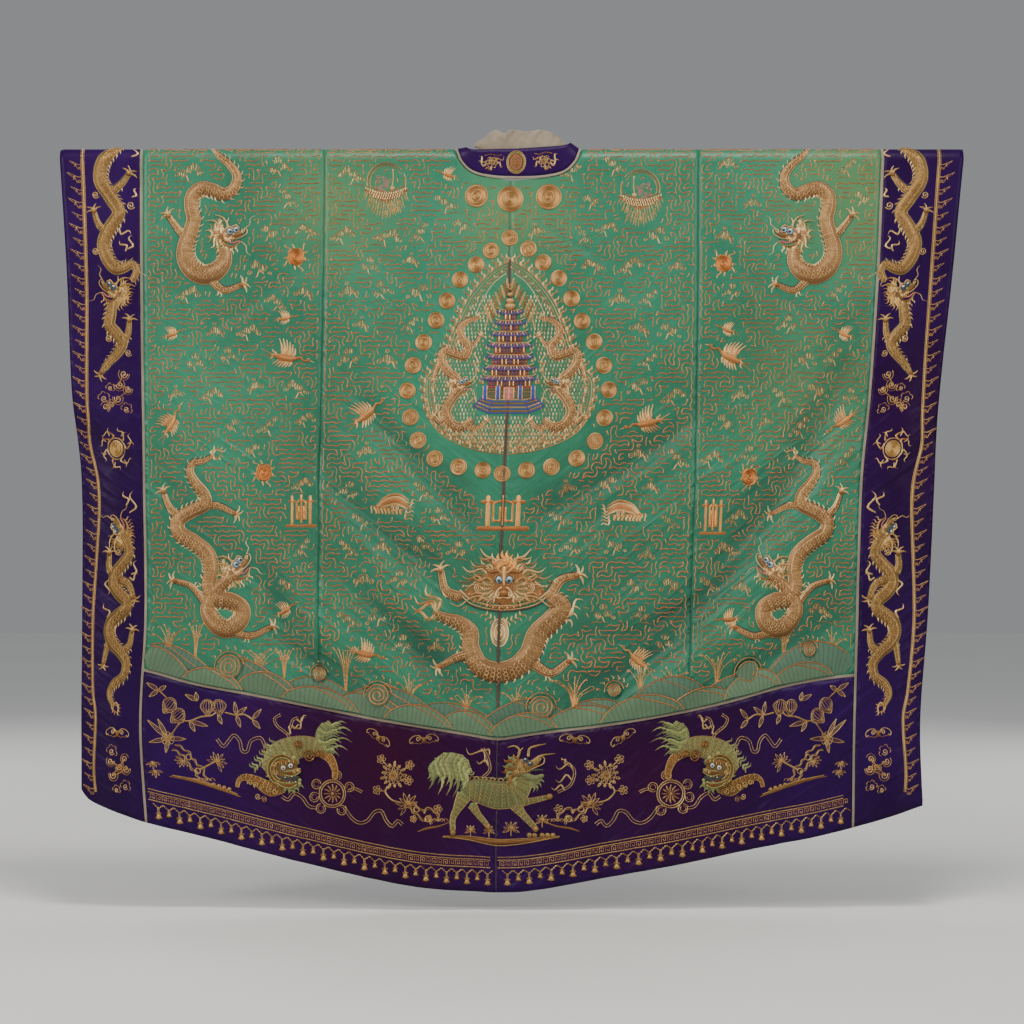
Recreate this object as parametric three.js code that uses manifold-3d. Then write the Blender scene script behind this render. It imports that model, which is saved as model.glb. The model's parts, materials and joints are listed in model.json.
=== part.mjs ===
// A Daoist priest's robe of descent, hung flat by its shoulders over a plain pole.
// Millimetres, +Z up. The origin is the middle of the pole, X runs across the shoulders and the
// embroidered back faces -Y. The robe is four satin lengths that run from the back hem over the
// shoulders to the front hem, framed by side and hem borders, with piping let into the seams.
import * as THREE from "three";
import { mergeVertices } from "three/addons/utils/BufferGeometryUtils.js";
import Module from "manifold-3d";

const poleRadius = 18.5;
const poleLength = 1672;
const poleSides = 32;

const fieldWall = 2;
const borderWall = 2.4;
const pipingWall = 3;
const pipingWidth = 5;
const neckbandWall = 2.6;
const guardWall = 2;
const seamGap = 0.3;
const backRows = 20;
const frontRows = 10;
const hemRows = 5;
const poleRows = 6;
const lengthColumns = 5;
const borderColumns = 3;
const neckStations = 28;
const frontStations = 24;
const guardColumns = 20;

// The faceted fold over the pole clears it at the middle of each facet.
const facet = Math.cos(Math.PI / (2 * poleRows));
const foldRadius = (poleRadius + seamGap) / facet + borderWall / 2;

const satinGreen = { color: 0x3f9474, roughness: 0.45 };
const satinPurple = { color: 0x2d1464, roughness: 0.5 };
const cottonWhite = { color: 0xaea496, roughness: 0.9 };
const poleWood = { color: 0x9a7b55, roughness: 0.6 };

// Where each seam and edge hangs, measured across from the pole's middle, at drops below it.
const hang = [
  { drop: 0, edgeL: -851, pipeL: -698, seamL: -353, middle: -2, seamR: 351, pipeR: 698, edgeR: 850 },
  { drop: 220, edgeL: -837, pipeL: -697, seamL: -355, middle: -5, seamR: 350, pipeR: 688, edgeR: 828 },
  { drop: 450, edgeL: -827, pipeL: -694, seamL: -359, middle: -8, seamR: 347, pipeR: 672, edgeR: 804 },
  { drop: 600, edgeL: -811, pipeL: -692, seamL: -362, middle: -15, seamR: 344, pipeR: 657, edgeR: 796 },
  { drop: 860, edgeL: -810, pipeL: -689, seamL: -364, middle: -24, seamR: 336, pipeR: 649, edgeR: 783 },
  { drop: 1060, edgeL: -812, pipeL: -699, seamL: -364, middle: -27, seamR: 330, pipeR: 644, edgeR: 769 },
  { drop: 1250, edgeL: -812, pipeL: -688, seamL: -362, middle: -30, seamR: 326, pipeR: 642, edgeR: 775 },
];
const lines = ["edgeL", "pipeL", "seamL", "middle", "seamR", "pipeR", "edgeR"];

// How far the hem piping and the hem hang below the pole, by the place across at the shoulder.
const hemLine = [
  { across: -851, piping: 950, hem: 1186 },
  { across: -836, piping: 951, hem: 1203 },
  { across: -800, piping: 953, hem: 1218 },
  { across: -698, piping: 960, hem: 1247 },
  { across: -600, piping: 985, hem: 1270 },
  { across: -479, piping: 1007, hem: 1300 },
  { across: -353, piping: 1031, hem: 1330 },
  { across: -250, piping: 1051, hem: 1353 },
  { across: -138, piping: 1069, hem: 1371 },
  { across: -50, piping: 1083, hem: 1377 },
  { across: -2, piping: 1090, hem: 1379 },
  { across: 60, piping: 1081, hem: 1376 },
  { across: 200, piping: 1064, hem: 1352 },
  { across: 351, piping: 1037, hem: 1324 },
  { across: 440, piping: 1019, hem: 1307 },
  { across: 540, piping: 993, hem: 1288 },
  { across: 614, piping: 979, hem: 1275 },
  { across: 698, piping: 970, hem: 1257 },
  { across: 780, piping: 968, hem: 1236 },
  { across: 850, piping: 966, hem: 1216 },
];

// Drag folds of the back: each crest line runs from start to end and sags below the straight
// line by sag. A depth above 0 is a trough, below 0 a ridge.
const folds = [
  { startX: 30, startDrop: 672, endX: 340, endDrop: 488, sag: 10, depth: 11, width: 30 },
  { startX: 100, startDrop: 765, endX: 430, endDrop: 560, sag: 30, depth: -8, width: 40 },
  { startX: 57, startDrop: 1041, endX: 640, endDrop: 370, sag: 125, depth: 13, width: 40 },
  { startX: 94, startDrop: 905, endX: 329, endDrop: 807, sag: 26, depth: 8, width: 28 },
  { startX: 250, startDrop: 1020, endX: 640, endDrop: 520, sag: 90, depth: -9, width: 42 },
  { startX: 336, startDrop: 999, endX: 637, endDrop: 807, sag: 30, depth: 9, width: 34 },
  { startX: -55, startDrop: 690, endX: -290, endDrop: 440, sag: 20, depth: 10, width: 30 },
  { startX: -60, startDrop: 745, endX: -330, endDrop: 470, sag: 30, depth: -7, width: 34 },
  { startX: -110, startDrop: 792, endX: -370, endDrop: 530, sag: 28, depth: 9, width: 32 },
  { startX: -130, startDrop: 865, endX: -430, endDrop: 560, sag: 40, depth: -8, width: 38 },
  { startX: -105, startDrop: 940, endX: -295, endDrop: 785, sag: 30, depth: 9, width: 28 },
  { startX: -25, startDrop: 1005, endX: -190, endDrop: 920, sag: 25, depth: 9, width: 28 },
  { startX: -200, startDrop: 985, endX: -420, endDrop: 780, sag: 34, depth: -7, width: 34 },
  { startX: -265, startDrop: 1008, endX: -460, endDrop: 820, sag: 28, depth: 10, width: 32 },
  { startX: -395, startDrop: 835, endX: -690, endDrop: 540, sag: 35, depth: 7, width: 38 },
  { startX: -860, startDrop: 470, endX: -700, endDrop: 575, sag: 0, depth: 6, width: 30 },
  { startX: 690, startDrop: 660, endX: 830, endDrop: 480, sag: 0, depth: 6, width: 30 },
];
const belly = { height: 7, lowest: 1400 };
const flutter = { height: 3, length: 240, starts: 850, full: 1300 };
const shoulderFade = { starts: 10, full: 150 };

// The outer edges of the side borders roll in behind, towards the other layer.
const edgeRolls = [
  { side: -1, inner: 745, outer: 851, starts: 380, full: 590, depth: 15 },
  { side: 1, inner: 770, outer: 850, starts: 180, full: 620, depth: 12 },
];

// Only here does the front layer hang past the back one.
const peep = { hemFrom: -260, hemTo: -120, hemDrop: 4, hemTuck: -5, blend: 60, edgeFrom: 690, edgeOut: 3.5 };

// The neckband from the back of the neck, over the shoulder and down the open front. Seam is its
// sewn edge and free its standing edge: out is measured from the neck's middle line. The sewn
// edge lies on the cloth, neckSeat from the pole's middle.
const neckMiddle = 12;
const neckSeat = 22;
const neckSeamGap = 1;
const neckPipingWidth = 4;
const neckband = [
  { seamOut: 0, seamY: -22, seamZ: -31, freeOut: 0, freeY: -19.5, freeZ: 21 },
  { seamOut: 46, seamY: -22, seamZ: -29, freeOut: 45, freeY: -19.5, freeZ: 22 },
  { seamOut: 84, seamY: -22, seamZ: -20, freeOut: 80, freeY: -19.5, freeZ: 23 },
  { seamOut: 104, seamY: -22, seamZ: -2, freeOut: 92, freeY: -17, freeZ: 25 },
  { seamOut: 112, seamY: -15, seamZ: 16, freeOut: 97, freeY: -9, freeZ: 28 },
  { seamOut: 114, seamY: 0, seamZ: 22, freeOut: 97, freeY: 4, freeZ: 29 },
  { seamOut: 112, seamY: 16, seamZ: 15, freeOut: 92, freeY: 16, freeZ: 22 },
  { seamOut: 106, seamY: 22, seamZ: -6, freeOut: 80, freeY: 22, freeZ: 5 },
  { seamOut: 92, seamY: 22, seamZ: -50, freeOut: 58, freeY: 22, freeZ: -32 },
  { seamOut: 72, seamY: 22, seamZ: -110, freeOut: 28, freeY: 22, freeZ: -95 },
  { seamOut: 58, seamY: 22, seamZ: -180, freeOut: 8, freeY: 22, freeZ: -175 },
];
const shoulderStation = 5;
const frontEdge = { seamOut: 56, freeOut: 5, straightFrom: 300 };
const neckTilt = 0.045;
const cutterReach = 90;
const shoulderGap = 0.06;

// The cotton guard inside the back of the neckband: its sewn foot and its crumpled top.
const guard = [
  { across: -70, footY: -6, footZ: 25, topY: -3, topZ: 31 },
  { across: -52, footY: -13.5, footZ: 18, topY: -6, topZ: 43 },
  { across: -30, footY: -15.6, footZ: 17, topY: -9, topZ: 57 },
  { across: -14, footY: -16.2, footZ: 17, topY: -14, topZ: 50 },
  { across: -4, footY: -16.2, footZ: 17, topY: -8, topZ: 58 },
  { across: 28, footY: -16.2, footZ: 17, topY: -12, topZ: 54 },
  { across: 47, footY: -16.2, footZ: 17, topY: -6, topZ: 58 },
  { across: 74, footY: -14.6, footZ: 18, topY: -4, topZ: 54 },
  { across: 90, footY: -9.5, footZ: 22, topY: -3, topZ: 43 },
  { across: 100, footY: -2, footZ: 27, topY: 1, topZ: 33 },
];
const guardBulge = 3;

const smooth = (from, to, value) => THREE.MathUtils.smoothstep(value, from, to);

// A smooth curve through a table's rows: the named column where the key column has this value.
function read(table, key, value, column) {
  const row = (index) => table[THREE.MathUtils.clamp(index, 0, table.length - 1)];
  let index = 0;
  while (index < table.length - 2 && value > table[index + 1][key]) index += 1;
  const span = row(index + 1)[key] - row(index)[key];
  const t = THREE.MathUtils.clamp((value - row(index)[key]) / span, 0, 1);
  const slope = (at) => {
    const reach = row(at + 1)[key] - row(at - 1)[key];
    return ((row(at + 1)[column] - row(at - 1)[column]) / reach) * span;
  };
  const from = row(index)[column];
  const to = row(index + 1)[column];
  return (
    from + t * slope(index) +
    t * t * (3 * (to - from) - 2 * slope(index) - slope(index + 1)) +
    t * t * t * (2 * (from - to) + slope(index) + slope(index + 1))
  );
}

// Across at the shoulder becomes across at a drop: each length keeps its share between seams.
function acrossAt(across, drop, facing) {
  let line = 0;
  while (line < lines.length - 2 && across > hang[0][lines[line + 1]]) line += 1;
  const [from, to] = [lines[line], lines[line + 1]];
  const share = (across - hang[0][from]) / (hang[0][to] - hang[0][from]);
  const left = read(hang, "drop", drop, from);
  const x = left + share * (read(hang, "drop", drop, to) - left);
  const proud = facing > 0 ? peep.edgeOut * smooth(peep.edgeFrom, hang[0].edgeR, across) : 0;
  return x + proud * smooth(shoulderFade.starts, shoulderFade.full, drop);
}

// Level 0 is the shoulder fold, 1 the field's foot, 2 the hem border's head and 3 the hem.
function dropAt(across, level, facing) {
  const half = pipingWidth / 2 + seamGap;
  const piping = read(hemLine, "across", across, "piping");
  const showing = smooth(peep.hemFrom - peep.blend, peep.hemFrom, across)
    * (1 - smooth(peep.hemTo, peep.hemTo + peep.blend, across));
  const tuck = facing > 0 ? peep.hemTuck + (peep.hemDrop - peep.hemTuck) * showing : 0;
  const hem = read(hemLine, "across", across, "hem") + tuck;
  if (level <= 1) return level * (piping - half);
  if (level <= 2) return piping - half + (level - 1) * 2 * half;
  return piping + half + (level - 2) * (hem - piping - half);
}

// How far the cloth stands out from the plumb plane under the shoulder fold.
function relief(x, drop) {
  let out = belly.height * Math.sin((Math.PI * drop) / belly.lowest);
  out += flutter.height * Math.sin((2 * Math.PI * x) / flutter.length)
    * smooth(flutter.starts, flutter.full, drop);
  for (const fold of folds) {
    const run = fold.endX - fold.startX;
    const t = (x - fold.startX) / run;
    const crest = fold.startDrop + t * (fold.endDrop - fold.startDrop) + 4 * fold.sag * t * (1 - t);
    const slope = (fold.endDrop - fold.startDrop + 4 * fold.sag * (1 - 2 * t)) / run;
    const away = (drop - crest) / Math.hypot(1, slope);
    const ends = smooth(-0.12, 0.18, t) * smooth(-0.12, 0.18, 1 - t);
    out -= fold.depth * ends * Math.exp(-((away / fold.width) ** 2));
  }
  return out * smooth(shoulderFade.starts, shoulderFade.full, drop);
}

function rollIn(across, drop) {
  let inward = 0;
  for (const roll of edgeRolls) {
    inward += roll.depth * smooth(roll.inner, roll.outer, roll.side * across)
      * smooth(roll.starts, roll.full, drop);
  }
  return inward;
}

// One path for every length: -4 is the back hem, -2 to -1 the back field from foot to shoulder,
// -1 to 1 lies over the pole, and the front runs down from 1 to its hem at 4.
function hung(across, path) {
  if (Math.abs(path) <= 1) {
    const angle = ((path + 1) / 2) * Math.PI;
    const x = acrossAt(across, 0, path);
    return new THREE.Vector3(x, -foldRadius * Math.cos(angle), foldRadius * Math.sin(angle));
  }
  const facing = Math.sign(path);
  const drop = dropAt(across, Math.abs(path) - 1, facing);
  const x = acrossAt(across, drop, facing);
  const out = relief(facing < 0 ? x : -x, drop) - rollIn(across, drop);
  return new THREE.Vector3(x, facing * (foldRadius + out), -drop);
}

// A closed wall of cloth about the surface at(a, b), on the grid of the two lists.
function clothWall(at, listA, listB, thickness) {
  const positions = [];
  const index = [];
  const stepA = 1e-3 * (listA[listA.length - 1] - listA[0]);
  const stepB = 1e-3 * (listB[listB.length - 1] - listB[0]);
  for (const side of [1, -1]) {
    for (const a of listA) {
      for (const b of listB) {
        const alongA = at(a + stepA, b).sub(at(a - stepA, b));
        const alongB = at(a, b + stepB).sub(at(a, b - stepB));
        const outward = alongA.cross(alongB).normalize();
        positions.push(...at(a, b).addScaledVector(outward, (side * thickness) / 2).toArray());
      }
    }
  }
  const endA = listA.length - 1;
  const endB = listB.length - 1;
  const outer = (i, j) => i * listB.length + j;
  const inner = (i, j) => outer(i, j) + listA.length * listB.length;
  const quad = (p, q, r, s) => index.push(p, q, r, p, r, s);
  for (let i = 0; i < endA; i += 1) {
    for (let j = 0; j < endB; j += 1) {
      quad(outer(i, j), outer(i + 1, j), outer(i + 1, j + 1), outer(i, j + 1));
      quad(inner(i, j), inner(i, j + 1), inner(i + 1, j + 1), inner(i + 1, j));
    }
    quad(outer(i, 0), inner(i, 0), inner(i + 1, 0), outer(i + 1, 0));
    quad(outer(i, endB), outer(i + 1, endB), inner(i + 1, endB), inner(i, endB));
  }
  for (let j = 0; j < endB; j += 1) {
    quad(outer(0, j), outer(0, j + 1), inner(0, j + 1), inner(0, j));
    quad(outer(endA, j), inner(endA, j), inner(endA, j + 1), outer(endA, j + 1));
  }
  const geometry = new THREE.BufferGeometry();
  geometry.setAttribute("position", new THREE.Float32BufferAttribute(positions, 3));
  geometry.setIndex(index);
  return geometry;
}

// A list of values from one to another, joined end to end with the next list of the same kind.
function steps(from, to, count) {
  return Array.from({ length: count + 1 }, (unused, index) => from + ((to - from) * index) / count);
}

function joined(...lists) {
  return lists.flatMap((list, index) => (index ? list.slice(1) : list));
}

// The open front hangs from the neck's middle to the middle seam's line.
function frontMiddle(drop) {
  const below = smooth(0, frontEdge.straightFrom, drop);
  return THREE.MathUtils.lerp(neckMiddle, read(hang, "drop", drop, "middle"), below);
}

// Neckband stations 0 to 10 are the table's rows and 11 is the front hem. Share 0 is the sewn
// edge, 1 the standing edge.
const stations = neckband.map((row, station) => ({ station, ...row }));
const lastRow = neckband.length - 1;
const frontHem = lastRow + 1;

function neckPoint(side, station, share) {
  const column = (name) => read(stations, "station", station, name);
  const mix = (seam, free) => THREE.MathUtils.lerp(seam, free, share);
  const seat = neckSeat / Math.hypot(column("seamY"), Math.max(column("seamZ"), 0));
  const seamY = column("seamY") * seat;
  const seamZ = column("seamZ") * (column("seamZ") > 0 ? seat : 1);
  const down = Math.max(station - lastRow, 0);
  const edge = mix(frontEdge.seamOut, frontEdge.freeOut);
  const out = THREE.MathUtils.lerp(mix(column("seamOut"), column("freeOut")), edge, smooth(0, 0.1, down));
  const tilt = side * neckTilt * out * (1 - smooth(shoulderStation, shoulderStation + 3, station));
  const z = THREE.MathUtils.lerp(mix(seamZ, column("freeZ") + tilt), -dropAt(0, 3, 1), down);
  const x = frontMiddle(-z) + side * out;
  const lie = station > shoulderStation ? relief(-x, -z) : 0;
  return new THREE.Vector3(x, mix(seamY, column("freeY")) + lie, z);
}

// A point beside the sewn edge, moved out over the cloth that lies round the neck.
function besideNeck(side, station, away) {
  const seam = neckPoint(side, station, 0);
  const next = neckPoint(side, Math.min(station + 0.01, frontHem), 0);
  const before = neckPoint(side, Math.max(station - 0.01, 0), 0);
  const along = next.sub(before);
  const normal = new THREE.Vector3(0, seam.y, Math.max(seam.z, 0)).normalize();
  const outward = along.cross(normal).normalize().multiplyScalar(side);
  if (station === 0) outward.set(0, 0, -1);
  return seam.addScaledVector(outward, away);
}

const robe = new THREE.Group();

function add(name, geometry, finish) {
  const mesh = new THREE.Mesh(geometry, new THREE.MeshStandardMaterial({ metalness: 0, ...finish }));
  mesh.name = name;
  robe.add(mesh);
}

// manifold-3d only cuts the neck opening and the open front out of the cloth.
const wasm = await Module();
wasm.setup();

function toSolid(geometry) {
  const bare = geometry.clone();
  for (const name of ["normal", "uv"]) bare.deleteAttribute(name);
  const merged = mergeVertices(bare, 1e-4);
  return new wasm.Manifold(new wasm.Mesh({
    numProp: 3,
    vertProperties: new Float32Array(merged.attributes.position.array),
    triVerts: new Uint32Array(merged.index.array),
  }));
}

function cutAway(geometry, cutters) {
  const mesh = cutters.reduce((rest, cutter) => rest.subtract(cutter), toSolid(geometry)).getMesh();
  const cut = new THREE.BufferGeometry();
  cut.setAttribute("position", new THREE.BufferAttribute(mesh.vertProperties, 3));
  cut.setIndex(new THREE.BufferAttribute(mesh.triVerts, 1));
  return cut;
}

// The neckline seen square on, from one station to another.
function neckOutline(side, from, to, count) {
  const away = neckPipingWidth + 2 * neckSeamGap;
  return steps(from, to, count).map((station) => besideNeck(side, station, away));
}

function neckCutter(outline, fromY, toY) {
  const shape = new THREE.Shape(outline.map((point) => new THREE.Vector2(point.x, point.z)));
  const geometry = new THREE.ExtrudeGeometry(shape, { depth: toY - fromY, bevelEnabled: false });
  return toSolid(geometry.rotateX(Math.PI / 2).translate(0, toY, 0));
}

const above = (point) => new THREE.Vector3(point.x, 0, cutterReach);
const below = (point) => new THREE.Vector3(point.x, 0, point.z - cutterReach);

const backEnd = shoulderStation - shoulderGap;
const frontStart = shoulderStation + shoulderGap;
const backLeft = neckOutline(-1, backEnd, 0, neckStations / 2);
const backRight = neckOutline(1, 0, backEnd, neckStations / 2).slice(1);
const backOutline = [...backLeft, ...backRight];
backOutline.push(above(backRight[backRight.length - 1]), above(backLeft[0]));

const frontLeft = neckOutline(-1, frontHem, frontStart, frontStations);
const frontRight = neckOutline(1, frontStart, frontHem, frontStations);
const frontOutline = [below(frontLeft[0]), ...frontLeft, above(frontLeft[frontStations])];
frontOutline.push(above(frontRight[0]), ...frontRight, below(frontRight[frontStations]));

const cutters = [
  neckCutter(backOutline, -cutterReach, seamGap),
  neckCutter(frontOutline, 0, cutterReach),
];

// The satin lengths: each runs from the foot of the back field over the pole to the front.
const shoulder = hang[0];
const pipingHalf = pipingWidth / 2;
const besidePiping = pipingHalf + seamGap;
const besideSeam = seamGap / 2;
const fieldPath = joined(steps(-2, -1, backRows), steps(-1, 1, poleRows), steps(1, 2, frontRows));
const lengths = [
  { name: "field_side_left", from: shoulder.pipeL + besidePiping, to: shoulder.seamL - besideSeam },
  { name: "field_centre_left", from: shoulder.seamL + besideSeam, to: shoulder.middle - besideSeam },
  { name: "field_centre_right", from: shoulder.middle + besideSeam, to: shoulder.seamR - besideSeam },
  { name: "field_side_right", from: shoulder.seamR + besideSeam, to: shoulder.pipeR - besidePiping },
];
for (const { name, from, to } of lengths) {
  const length = clothWall(hung, steps(from, to, lengthColumns), fieldPath, fieldWall);
  add(name, name.includes("centre") ? cutAway(length, cutters) : length, satinGreen);
}

// Side borders and their piping run the whole way from hem to hem.
const hemToHem = joined(
  steps(-4, -3, hemRows), [-3, -2], fieldPath, [2, 3], steps(3, 4, hemRows),
);
const sides = [
  { hand: "left", from: shoulder.edgeL, to: shoulder.pipeL - besidePiping, piping: shoulder.pipeL },
  { hand: "right", from: shoulder.pipeR + besidePiping, to: shoulder.edgeR, piping: shoulder.pipeR },
];
for (const { hand, from, to, piping } of sides) {
  const border = clothWall(hung, steps(from, to, borderColumns), hemToHem, borderWall);
  add(`side_border_${hand}`, border, satinPurple);
  const cord = clothWall(hung, [piping - pipingHalf, piping + pipingHalf], hemToHem, pipingWall);
  add(`side_piping_${hand}`, cord, cottonWhite);
}

// Hem borders meet at the middle seam, below a piping of their own. The open front parts them.
const pipingInset = seamGap / (pipingWidth + 2 * seamGap);
const columns = lengths.map(({ from, to }) => steps(from, to, lengthColumns));
const halves = [
  { hand: "left", across: joined(columns[0], columns[1]) },
  { hand: "right", across: joined(columns[2], columns[3]) },
];
for (const { hand, across } of halves) {
  const pipingPath = [-3 + pipingInset, -2 - pipingInset];
  add(`hem_border_back_${hand}`, clothWall(hung, across, steps(-4, -3, hemRows), borderWall), satinPurple);
  add(`hem_piping_back_${hand}`, clothWall(hung, across, pipingPath, pipingWall), cottonWhite);
  const border = clothWall(hung, across, steps(3, 4, hemRows), borderWall);
  add(`hem_border_front_${hand}`, cutAway(border, cutters), satinPurple);
  const cord = clothWall(hung, across, [2 + pipingInset, 3 - pipingInset], pipingWall);
  add(`hem_piping_front_${hand}`, cutAway(cord, cutters), cottonWhite);
}

// The neckband stands round the back of the neck and runs down both edges of the open front,
// with a white edge let in along its seam.
const neckRuns = [
  { name: "back", side: 1, from: -backEnd, to: backEnd, count: neckStations },
  { name: "front_left", side: -1, from: frontStart, to: frontHem, count: frontStations },
  { name: "front_right", side: 1, from: frontStart, to: frontHem, count: frontStations },
];
for (const { name, side, from, to, count } of neckRuns) {
  const hand = (station) => (station < 0 ? -side : side);
  const band = (station, share) => neckPoint(hand(station), Math.abs(station), share);
  const edge = (station, share) => {
    const away = neckSeamGap + (1 - share) * neckPipingWidth;
    return besideNeck(hand(station), Math.abs(station), away);
  };
  const run = steps(from, to, count);
  const order = side > 0 ? run : run.reverse();
  add(`neckband_${name}`, clothWall(band, order, [0, 0.5, 1], neckbandWall), satinPurple);
  add(`neck_piping_${name}`, clothWall(edge, order, [0, 1], pipingWall), cottonWhite);
}

// The crumpled cotton guard stands up inside the back of the neckband.
function guardPoint(across, share) {
  const column = (name) => read(guard, "across", across, name);
  const y = THREE.MathUtils.lerp(column("footY"), column("topY"), share);
  const z = THREE.MathUtils.lerp(column("footZ"), column("topZ"), share);
  return new THREE.Vector3(across, y - guardBulge * Math.sin(Math.PI * share), z);
}
const guardAcross = steps(guard[0].across, guard[guard.length - 1].across, guardColumns);
add("collar_guard", clothWall(guardPoint, guardAcross, steps(0, 1, 4), guardWall), cottonWhite);

const pole = new THREE.CylinderGeometry(poleRadius, poleRadius, poleLength, poleSides);
add("hanging_pole", pole.rotateZ(Math.PI / 2), poleWood);

export default robe;
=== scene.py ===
"""The looks of a Daoist priest's robe of descent, hung flat by its shoulders over a plain pole.

Distances in the tables are millimetres, as a maker would write them, and MM turns them into metres.
Across is measured over the shoulders, to the right of the pole's middle as seen from behind the wearer.
Fall is measured along the cloth from the back of the pole: above 0 it is the drop down the back, below 0
it runs back over the pole and then down the front.
"""

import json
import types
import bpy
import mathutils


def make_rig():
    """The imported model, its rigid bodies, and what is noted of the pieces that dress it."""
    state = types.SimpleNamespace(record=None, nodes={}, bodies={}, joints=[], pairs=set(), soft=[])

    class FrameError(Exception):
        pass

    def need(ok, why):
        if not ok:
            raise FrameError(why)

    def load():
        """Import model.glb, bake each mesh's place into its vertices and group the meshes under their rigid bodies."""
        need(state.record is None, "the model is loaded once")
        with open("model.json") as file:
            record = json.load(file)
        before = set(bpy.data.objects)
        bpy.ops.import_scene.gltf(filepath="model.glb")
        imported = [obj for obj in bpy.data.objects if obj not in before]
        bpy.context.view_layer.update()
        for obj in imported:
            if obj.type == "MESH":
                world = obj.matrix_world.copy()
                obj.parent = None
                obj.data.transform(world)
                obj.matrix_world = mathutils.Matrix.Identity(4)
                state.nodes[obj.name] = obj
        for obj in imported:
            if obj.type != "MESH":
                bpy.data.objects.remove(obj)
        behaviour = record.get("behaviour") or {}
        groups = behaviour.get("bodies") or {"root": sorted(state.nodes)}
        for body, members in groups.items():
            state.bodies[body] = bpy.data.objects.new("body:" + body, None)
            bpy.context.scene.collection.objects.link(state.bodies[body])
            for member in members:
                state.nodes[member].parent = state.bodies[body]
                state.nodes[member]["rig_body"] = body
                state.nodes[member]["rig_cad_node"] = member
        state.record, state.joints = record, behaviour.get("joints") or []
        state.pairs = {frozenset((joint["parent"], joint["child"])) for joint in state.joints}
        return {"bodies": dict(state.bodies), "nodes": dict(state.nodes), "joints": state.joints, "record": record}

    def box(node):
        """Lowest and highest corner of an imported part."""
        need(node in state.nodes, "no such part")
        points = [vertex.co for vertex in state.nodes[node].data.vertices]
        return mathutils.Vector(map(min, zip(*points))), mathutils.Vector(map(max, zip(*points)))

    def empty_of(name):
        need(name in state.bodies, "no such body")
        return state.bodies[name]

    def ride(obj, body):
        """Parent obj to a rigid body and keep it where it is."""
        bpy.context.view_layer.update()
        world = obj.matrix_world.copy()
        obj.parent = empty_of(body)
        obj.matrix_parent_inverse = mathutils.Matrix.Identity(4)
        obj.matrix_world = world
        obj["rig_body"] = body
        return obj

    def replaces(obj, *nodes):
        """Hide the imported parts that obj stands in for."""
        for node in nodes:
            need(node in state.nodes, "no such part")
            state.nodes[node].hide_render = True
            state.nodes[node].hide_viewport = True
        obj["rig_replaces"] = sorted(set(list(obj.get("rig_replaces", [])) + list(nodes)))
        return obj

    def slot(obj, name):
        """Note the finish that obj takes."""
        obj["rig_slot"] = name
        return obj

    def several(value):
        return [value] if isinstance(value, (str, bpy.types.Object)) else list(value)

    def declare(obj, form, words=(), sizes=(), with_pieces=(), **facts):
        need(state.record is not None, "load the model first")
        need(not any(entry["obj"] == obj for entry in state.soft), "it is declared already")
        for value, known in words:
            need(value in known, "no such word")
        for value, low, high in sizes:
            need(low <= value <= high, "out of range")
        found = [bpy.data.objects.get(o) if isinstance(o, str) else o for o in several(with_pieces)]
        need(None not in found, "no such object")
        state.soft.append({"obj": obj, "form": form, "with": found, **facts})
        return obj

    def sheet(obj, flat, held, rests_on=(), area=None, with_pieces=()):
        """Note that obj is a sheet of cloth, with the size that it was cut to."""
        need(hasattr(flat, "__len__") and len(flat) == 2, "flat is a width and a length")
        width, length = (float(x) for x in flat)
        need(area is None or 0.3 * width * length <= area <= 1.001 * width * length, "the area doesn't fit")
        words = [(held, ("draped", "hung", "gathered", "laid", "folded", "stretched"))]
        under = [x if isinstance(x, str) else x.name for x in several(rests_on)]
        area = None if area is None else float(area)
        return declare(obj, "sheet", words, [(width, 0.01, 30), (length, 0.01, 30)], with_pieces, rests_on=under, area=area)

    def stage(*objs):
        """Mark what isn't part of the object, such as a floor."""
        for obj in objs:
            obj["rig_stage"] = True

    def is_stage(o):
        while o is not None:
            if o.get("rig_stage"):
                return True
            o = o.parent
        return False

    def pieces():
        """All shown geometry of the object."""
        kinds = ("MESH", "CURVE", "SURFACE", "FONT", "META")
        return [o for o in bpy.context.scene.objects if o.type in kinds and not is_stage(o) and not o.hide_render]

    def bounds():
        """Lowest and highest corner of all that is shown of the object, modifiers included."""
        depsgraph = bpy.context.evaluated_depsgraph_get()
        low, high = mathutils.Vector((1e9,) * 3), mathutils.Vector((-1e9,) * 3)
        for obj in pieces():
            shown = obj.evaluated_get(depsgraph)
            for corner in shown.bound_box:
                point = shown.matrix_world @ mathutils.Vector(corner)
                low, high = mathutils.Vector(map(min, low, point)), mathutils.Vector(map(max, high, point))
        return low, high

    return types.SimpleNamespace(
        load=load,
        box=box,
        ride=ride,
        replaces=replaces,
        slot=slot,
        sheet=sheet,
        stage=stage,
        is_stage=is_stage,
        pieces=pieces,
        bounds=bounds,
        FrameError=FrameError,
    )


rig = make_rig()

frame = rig.load()

import json
import math

import bmesh
import bpy
import numpy as np
from mathutils import Matrix

cad_box = [[float(value) for value in corner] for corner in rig.bounds()]
MM = 0.001

# ---- The place it is looked at in: a pale floor and a long lens that looks level at the back.
# Two wide soft lamps stand left and right, as on a copy stand, so that upright gold threads shine
# and level ones stay dull, a glint that the threads' colours also paint in. Weaker lamps above and
# behind keep the front and the shoulders readable.
pole_low, pole_high = (np.array(corner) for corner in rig.box("hanging_pole"))
floor_gap = 0.035
floor_level = cad_box[0][2] - floor_gap
floor_reach = 14.0
view_middle = -0.663
view_distance = 6.0
view_width = 1.934
sensor_width = 36.0


def in_scene(name, data):
    """A new object at the origin that holds this data."""
    piece = bpy.data.objects.new(name, data)
    bpy.context.scene.collection.objects.link(piece)
    return piece


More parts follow.
